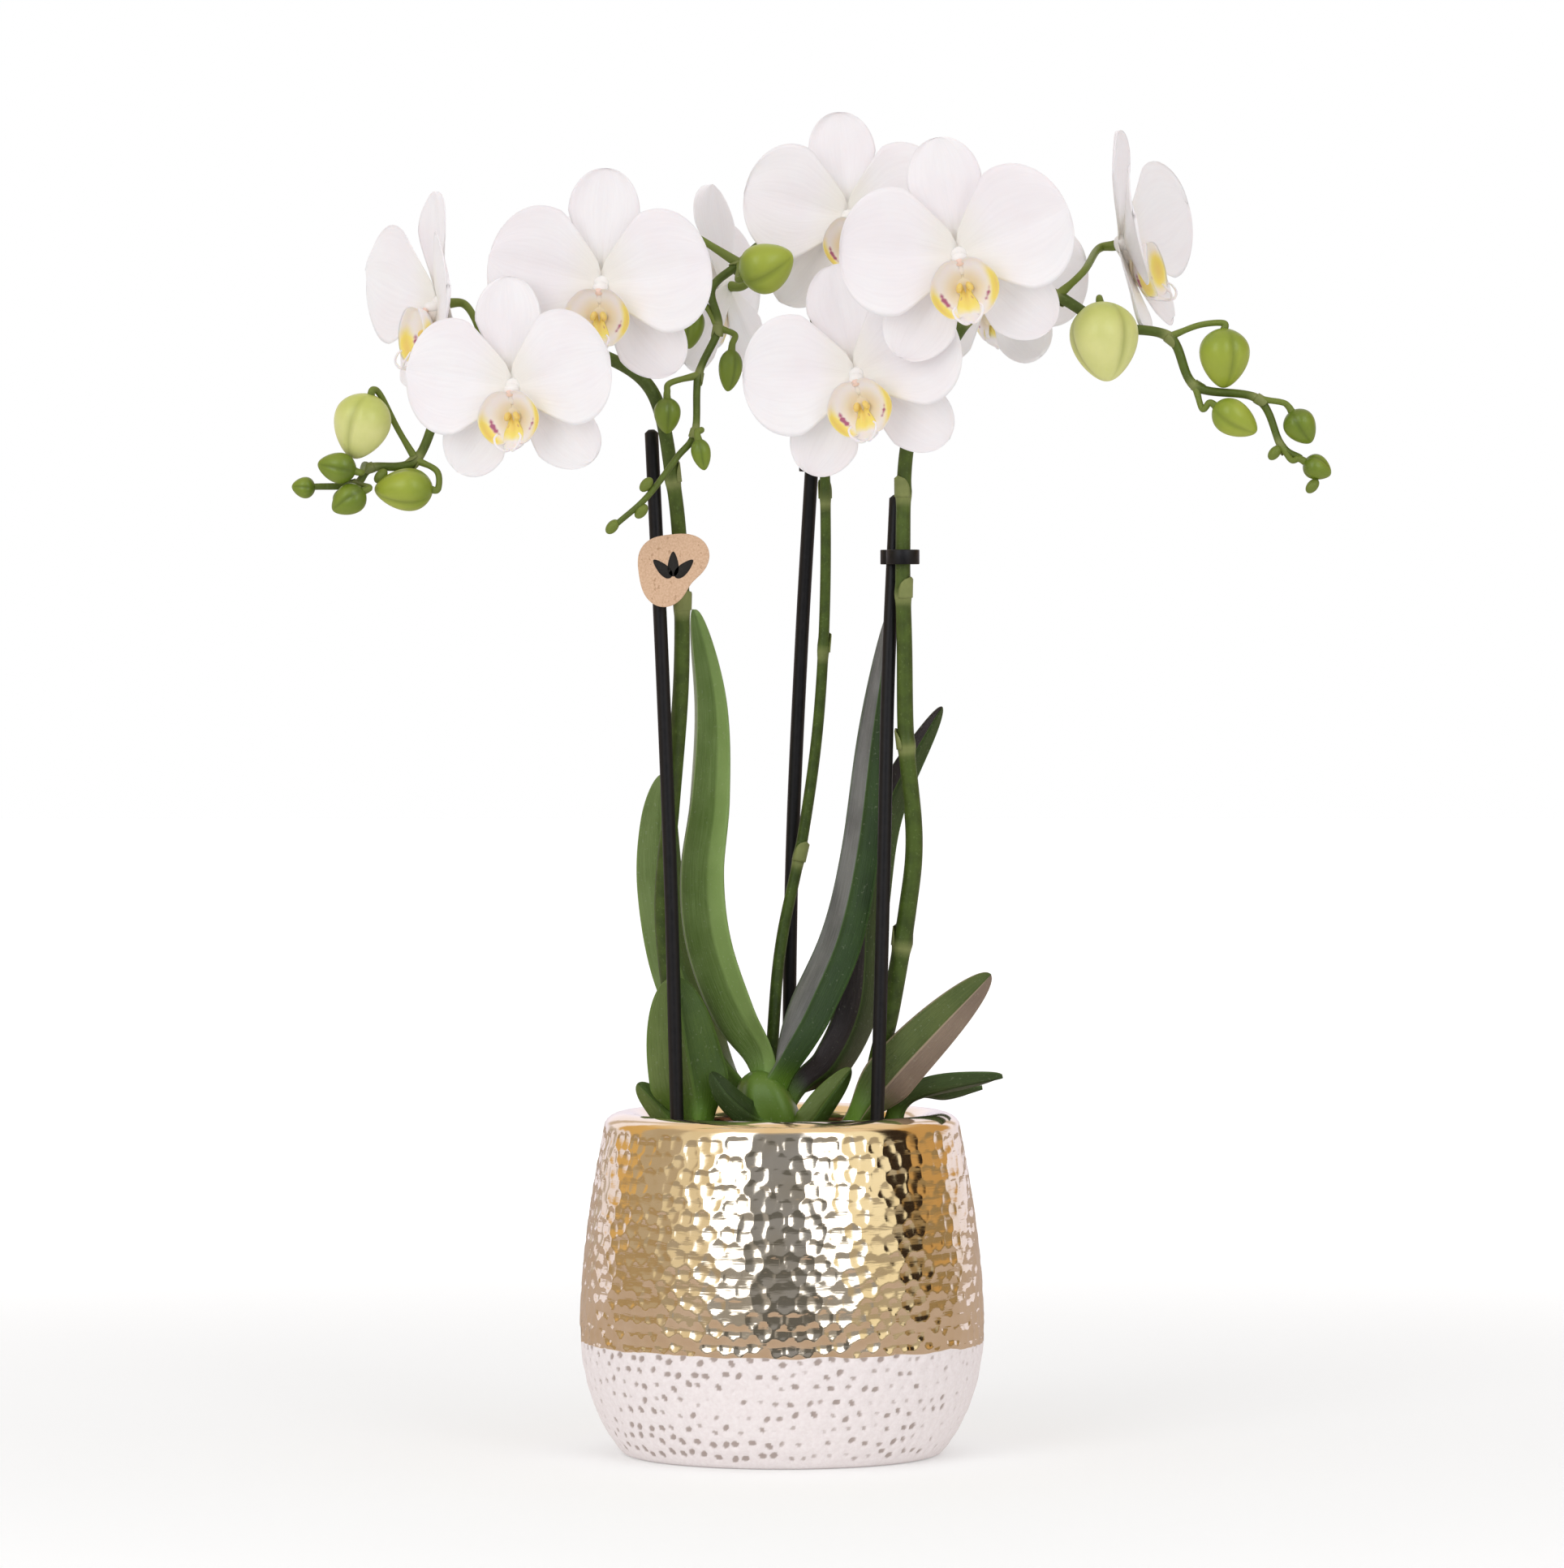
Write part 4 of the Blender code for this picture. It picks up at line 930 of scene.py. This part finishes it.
def bud(name, centre, half_length, half_width, tip):
    point = Vector(tip).to_track_quat("Z", "Y").to_matrix().to_4x4()
    matrix = Matrix.Translation(above_bark(centre)) @ point
    shape = bmesh.new()
    bmesh.ops.create_uvsphere(shape, u_segments=48, v_segments=32, radius=1.0)
    layers = hold(shape, "along", "seam")
    turned = len(name) + half_length
    for vert in shape.verts:
        height = vert.co.z
        around = math.atan2(vert.co.y, vert.co.x) + turned
        third = (around / math.tau * 3) % 1.0 - 0.5
        groove = bell(third, 0.07) * (1 - height * height) ** 0.5
        girth = (1 - 0.22 * height) * (1 - 0.09 * groove + 0.035 * math.cos(3 * around))
        vert[layers["along"]] = (height + 1) / 2
        vert[layers["seam"]] = groove
        vert.co.x *= half_width * girth
        vert.co.y *= half_width * girth
        vert.co.z = half_length * (height + 0.06 * height * abs(height) ** 6)
    shape.transform(matrix)
    close(shape)
    age = "ripe" if half_width > RIPE_HALF_WIDTH else "green" if half_width > GREEN_HALF_WIDTH else "young"
    piece(f"sepals_{name}", shape, bud_finishes[age], "bud", f"bud_{name}")


for name, values in BUDS.items():
    bud(name, *values)

# ---- spikes
# Three arching flower spikes with a stalk to each flower and bud. A spike has a paler joint,
# wrapped in a dry bract, wherever a stalk leaves it and at a few places lower down.

FOOT = 0.9
LEFT_ROUTE = [(-27, 3, FOOT), (-31.5, 2, 27), (-35.5, -1, 55), (-36.5, -2.5, 75), (-34, -4, 102),
              (-31, -6, 140), (-31, -10, 175), (-33.5, -14, 202), (-40, -17, 229), (-58, -15, 241),
              (-78, -14, 247), (-91, -16, 243), (-103, -20, 227), (-111.5, -25, 207.5), (-125, -27, 205),
              (-130, -28, 200), (-142.8, -29, 199.2)]
MIDDLE_ROUTE = [(-4, 10.5, FOOT), (-2.5, 12.5, 35), (0, 14, 60), (6.5, 14.5, 92), (11.5, 14, 130),
                (13.5, 13, 175), (12.5, 11, 225), (9, 8, 258), (3, 4, 271), (-6, 0, 274), (-13, -5, 268),
                (-21.5, -11, 260), (-19.5, -14, 248), (-25.5, -18, 233.5), (-26.5, -25, 216),
                (-32, -30, 208), (-41, -34, 196), (-50, -34, 188)]
RIGHT_ROUTE = [(27, 2, FOOT), (29, -1, 20), (33.5, -7, 40), (38.5, -11, 70), (40.5, -12, 92),
               (38, -13.5, 122), (37.5, -14, 150), (37, -15, 180), (38.5, -15, 213), (47, -15, 234),
               (57, -16, 251), (70, -18, 261.5), (84, -20, 257.5), (99.5, -22, 248.5), (118, -22, 245),
               (126, -23, 230), (145, -24, 226), (152, -25, 212), (158, -25.5, 208)]
# Each spike has its route and its radius at foot and tip. A stalk has what it carries, the point
# of the route where it leaves, and its bends. Then come the heights of the joints lower down, and
# the places of the tiny buds at the tip.
SPIKES = {
    "left_spike": (LEFT_ROUTE, 3.2, 1.0, [
        ("flower", "left_1", 9, [(-57, -27, 249)]),
        ("flower", "left_2", 10, [(-83, -29, 240)]),
        ("flower", "left_3", 11, [(-94, -17, 251)]),
        ("bud", "left_1", 13, [(-117, -27, 217), (-122, -30, 227)]),
        ("bud", "left_2", 13, [(-105, -28, 204)]),
        ("bud", "left_3", 14, [(-127, -27, 206)]),
        ("bud", "left_4", 15, []),
    ], [163.5, 202], [(-134.5, -29.5, 196.5), (-122, -29, 202.5)]),
    "middle_spike": (MIDDLE_ROUTE, 2.0, 0.9, [
        ("flower", "middle_1", 6, [(15, -8, 232)]),
        ("flower", "middle_2", 7, [(12, 2, 272)]),
        ("flower", "middle_3", 9, [(-4, 12, 270)]),
        ("flower", "middle_4", 10, [(-26, -7, 276), (-37, -9, 281)]),
        ("bud", "middle_1", 10, [(-13, -13, 266)]),
        ("bud", "middle_2", 12, [(-14.5, -15, 246)]),
        ("bud", "middle_3", 12, [(-23, -11, 254.5)]),
        ("bud", "middle_4", 13, [(-34, -22, 231)]),
        ("bud", "middle_5", 14, [(-24.5, -28.5, 216.5)]),
    ], [84.7, 151, 197], [(-41.2, -33.6, 199.8), (-42.7, -34, 191.7), (-51.5, -34, 187)]),
    "right_spike": (RIGHT_ROUTE, 3.2, 1.0, [
        ("flower", "right_1", 10, [(55, -34, 262)]),
        ("flower", "right_2", 11, [(66, -4, 262)]),
        ("flower", "right_3", 12, [(92, -20, 265)]),
        ("bud", "right_1", 13, [(97, -27, 255.5)]),
        ("bud", "right_2", 14, [(127, -23, 248.5)]),
        ("bud", "right_3", 15, [(128, -25, 223)]),
        ("bud", "right_4", 16, [(152, -26, 225)]),
        ("bud", "right_5", 17, [(155, -26, 207.5)]),
    ], [59.7, 121, 167, 197], [(150.0, -25.7, 209.6), (161.5, -26, 199.5)]),
}
STALK_RADIUS = 1.15
FLOWER_BACK = 2.2
FLOWER_NECK = 5.5
BUD_SEAT = 0.6
BUD_NECK = 2.6
JOINT_SWELL = 0.16
TIP_BUD = (1.7, 1.7, 2.6)

stem, wire = finish("stem_skin", Coat_Weight=0.05, Coat_Roughness=0.3, Specular_IOR_Level=0.35)
place = wire.place()
mottle = place.clouds(240.0, 4.0)
dots = place.clouds(1300.0, 1.0)
surface = mottle.step(0.3, 0.7).mix((0.026, 0.05, 0.005), (0.052, 0.092, 0.009))
surface = (wire.held("thin") * 0.75).mix(surface, (0.2, 0.255, 0.04))
surface = (dots.step(0.62, 0.72) * 0.2).mix(surface, (0.2, 0.28, 0.09))
wire.feed("Base Color", (wire.held("joint") * (0.5 + 0.5 * mottle)).mix(surface, (0.27, 0.30, 0.10)))
wire.feed("Roughness", 0.4 + 0.2 * mottle)
wire.feed("Normal", (mottle + 0.3 * dots).bump(0.3, 0.0005))


def stalk_end(kind, name):
    """The last two points of a stalk, behind its flower or bud."""
    if kind == "flower":
        centre, turn, nod, roll, size, _ = FLOWERS[name]
        way = facing_frame(centre, turn, nod, roll).to_3x3() @ Vector((0, 0, 1))
        end = above_bark(centre) - way * FLOWER_BACK * size
        return end - way * FLOWER_NECK, end
    centre, half_length, _, tip = BUDS[name]
    way = Vector(tip).normalized()
    end = above_bark(centre) - way * (half_length - BUD_SEAT)
    return end - way * BUD_NECK, end


def add_bract(shape, place, ahead, radius, turn, length):
    """Adds a dry scale that clasps one side of the stem at a joint."""
    scale = slab(10, 8)
    layers = hold(scale, "joint", "thin")
    matrix = Matrix.Translation(place) @ ahead.to_track_quat("Z", "Y").to_matrix().to_4x4()
    for vert in scale.verts:
        share, t, depth = vert.co.x, vert.co.y, vert.co.z
        angle = turn + share * 1.5 * math.sqrt(1 - t**2.5)
        out = radius * (1.02 + 0.12 * t) + 0.5 - 0.35 * depth
        vert[layers["joint"]] = 1.0
        vert.co = Vector((out * math.cos(angle), out * math.sin(angle), length * (t - 0.2)))
    close(scale)
    scale.transform(matrix)
    add_shape(shape, scale)


def spike(name, route, foot_radius, tip_radius, stalks, rings, tips):
    points = [above_bark(point) for point in route]
    joints = [points[leaves_at] for _, _, leaves_at, _ in stalks]
    for ring in rings:
        joints.append(min((along(points, step / 400) for step in range(200)),
                          key=lambda spot: abs(spot.z - ring - BARK_TOP)))
    steps = 20 * len(points)
    shape = bmesh.new()
    layers = hold(shape, "joint", "thin")

    def girth(t):
        near = min((along(points, t) - joint).length for joint in joints)
        return (foot_radius + (tip_radius - foot_radius) * t) * (1 + JOINT_SWELL * bell(near, 2.2))

    for index, loop in enumerate(add_tube(shape, points, girth, steps, 14)):
        spot = along(points, min(index / steps, 1.0))
        near = min((spot - joint).length for joint in joints)
        for vert in loop:
            vert[layers["joint"]] = bell(near, 1.7)
            vert[layers["thin"]] = 0.5 * index / steps
    for number, ring in enumerate(joints):
        t = min((step / 800 for step in range(800)), key=lambda t: (along(points, t) - ring).length)
        big = number >= len(stalks)
        thick = foot_radius + (tip_radius - foot_radius) * t
        add_bract(shape, ring, heading(points, t), thick, 2.4 * number + 1.0, 6.5 if big else 2.6 + thick)
    for spot in tips:
        leaning = Matrix.Translation(above_bark(spot)) @ Matrix.Rotation(0.7, 4, "Y")
        add_ball(shape, TIP_BUD, leaning, 16, 12, thin=1.0)
    joint_layer, thin_layer = (shape.verts.layers.float[key] for key in ("joint", "thin"))
    for kind, carried, leaves_at, bends in stalks:
        path = [points[leaves_at], *(above_bark(bend) for bend in bends), *stalk_end(kind, carried)]
        radius = STALK_RADIUS if kind == "flower" else STALK_RADIUS * 0.85
        swell = 0.5 if kind == "flower" else 0.35

        def stalk_girth(t):
            return radius * (1 + swell * max(0, 1 - 6 * t) + swell * t**4)

        for index, loop in enumerate(add_tube(shape, path, stalk_girth, 30, 10)):
            for vert in loop:
                vert[joint_layer] = 0.5 * bell(index, 3)
                vert[thin_layer] = 1.0
    bmesh.ops.recalc_face_normals(shape, faces=shape.faces)
    piece(f"{name}_stem", shape, stem, "stem", name)


for name, values in SPIKES.items():
    spike(name, *values)

# ---- clips
# Three clips moulded in black plastic hold the spikes to the sticks. Each has a ring round the
# spike, a ring round the stick and a flat bar between them.

CLIPS = {"left": 175.0, "middle": 207.0, "right": 178.0}
CLIP_HEIGHT = 4.5
CLIP_WALL = 1.2
CLIP_PLAY = 0.7
CLIP_EDGE = 0.25
BAR_DEPTH = 3.0
BAR_BITE = 0.6
BAR_OVERLAP = 1.6
SHARP = 0.8


def at_height(points, height):
    """Where a rising route passes the given height."""
    low, high = 0.0, 1.0
    for _ in range(30):
        middle = (low + high) / 2
        if along(points, middle).z < height:
            low = middle
        else:
            high = middle
    return along(points, low)


def soften(shape, offset, segments):
    """Rounds every sharp edge of a moulded or cut piece."""
    sharp = [edge for edge in shape.edges if len(edge.link_faces) == 2 and edge.calc_face_angle() > SHARP]
    bmesh.ops.bevel(shape, geom=sharp, offset=offset, offset_type="OFFSET", segments=segments,
                    profile=0.5, affect="EDGES", material=-1)


for side, height in CLIPS.items():
    route, foot_radius = SPIKES[f"{side}_spike"][:2]
    level = BARK_TOP + height
    stem_place = at_height([above_bark(point) for point in route[:9]], level)
    stick_place = at_height(sticks[f"{side}_stick"], level)
    shape = bmesh.new()
    half = CLIP_HEIGHT / 2
    for place, radius in ((stem_place, foot_radius + CLIP_PLAY), (stick_place, STICK_RADIUS + CLIP_PLAY)):
        outside = radius + CLIP_WALL
        ring = spun([(radius, -half), (outside, -half), (outside, half), (radius, half)], 48, closed=True)
        bmesh.ops.translate(ring, verts=ring.verts, vec=place)
        add_shape(shape, ring)
    across = (stick_place - stem_place).xy.to_3d()
    reach = foot_radius + STICK_RADIUS + 2 * CLIP_PLAY + CLIP_WALL
    bar_length = max(across.length - reach, CLIP_WALL) + BAR_OVERLAP
    out = foot_radius + CLIP_PLAY + CLIP_WALL / 2 + bar_length / 2 - BAR_BITE
    middle = stem_place + across.normalized() * out
    turn = Matrix.Rotation(math.atan2(across.y, across.x), 4, "Z")
    size = Matrix.Diagonal((bar_length, BAR_DEPTH, CLIP_HEIGHT * 0.8, 1))
    bmesh.ops.create_cube(shape, size=1.0, matrix=Matrix.Translation(middle) @ turn @ size)
    bmesh.ops.remove_doubles(shape, verts=shape.verts, dist=0.001)
    bmesh.ops.recalc_face_normals(shape, faces=shape.faces)
    soften(shape, CLIP_EDGE, 2)
    piece(f"{side}_clip_moulding", shape, black, "black_plastic", f"{side}_clip")

# ---- tag
# A rounded, three-cornered card in kraft brown, held in front of the left clip. It is printed
# with a plain sprig of three leaves.

TAG_PLACE = (-34, -19.5, 175)
TAG_RADIUS = 10.7
TAG_THICKNESS = 1.2
TAG_EDGE = 0.3
INK_THICKNESS = 0.12
SPRIG_REACH = 4.6
LEAFLET_WIDTH = 1.6
LEAFLET_LENGTH = 3.8

card, wire = finish("kraft_card", Roughness=0.85)
place = wire.place()
fibres = place.clouds(1500.0, 3.0, 0.7)
flecks = place.clouds(700.0)
surface = fibres.step(0.3, 0.7).mix((0.62, 0.40, 0.25), (0.76, 0.53, 0.36))
surface = (flecks.step(0.64, 0.7) * 0.5).mix(surface, (0.38, 0.2, 0.1))
wire.feed("Base Color", wire.held("print").step(0.3, 0.7).mix(surface, (0.02, 0.018, 0.016)))
wire.feed("Normal", fibres.bump(0.3, 0.0003))

tag_shape = bmesh.new()
tag_shape.verts.layers.float.new("print")
bmesh.ops.create_circle(tag_shape, cap_ends=True, segments=96, radius=1.0)
for vert in tag_shape.verts:
    angle = math.atan2(vert.co.y, vert.co.x)
    corners = 1.2 * math.cos(3 * (angle - math.radians(22)))
    longer = 1.3 * math.cos(2 * (angle - math.radians(230)))
    vert.co *= TAG_RADIUS + corners + longer
thicken(tag_shape, TAG_THICKNESS)
bmesh.ops.recalc_face_normals(tag_shape, faces=tag_shape.faces)
soften(tag_shape, TAG_EDGE, 3)
for turn in (-0.8, 0.0, 0.8):
    leaflet = bmesh.new()
    bmesh.ops.create_circle(leaflet, cap_ends=True, segments=40, radius=1.0)
    for vert in leaflet.verts:
        vert.co.x *= LEAFLET_WIDTH * (1 - 0.35 * vert.co.y)
        vert.co.y *= LEAFLET_LENGTH
    thicken(leaflet, INK_THICKNESS)
    bmesh.ops.recalc_face_normals(leaflet, faces=leaflet.faces)
    ink = leaflet.verts.layers.float.new("print")
    for vert in leaflet.verts:
        vert[ink] = 1.0
    spot = (SPRIG_REACH * math.sin(turn) + 0.8, SPRIG_REACH * math.cos(turn) - 3.8, TAG_THICKNESS - 0.04)
    leaflet.transform(Matrix.Translation(spot) @ Matrix.Rotation(-turn, 4, "Z"))
    add_shape(tag_shape, leaflet)
tag_frame = Matrix.Translation(above_bark(TAG_PLACE)) @ Matrix.Rotation(math.pi / 2, 4, "X")
tag_shape.transform(tag_frame)
piece("kraft_tag", tag_shape, card, "tag_card", "plant_tag")
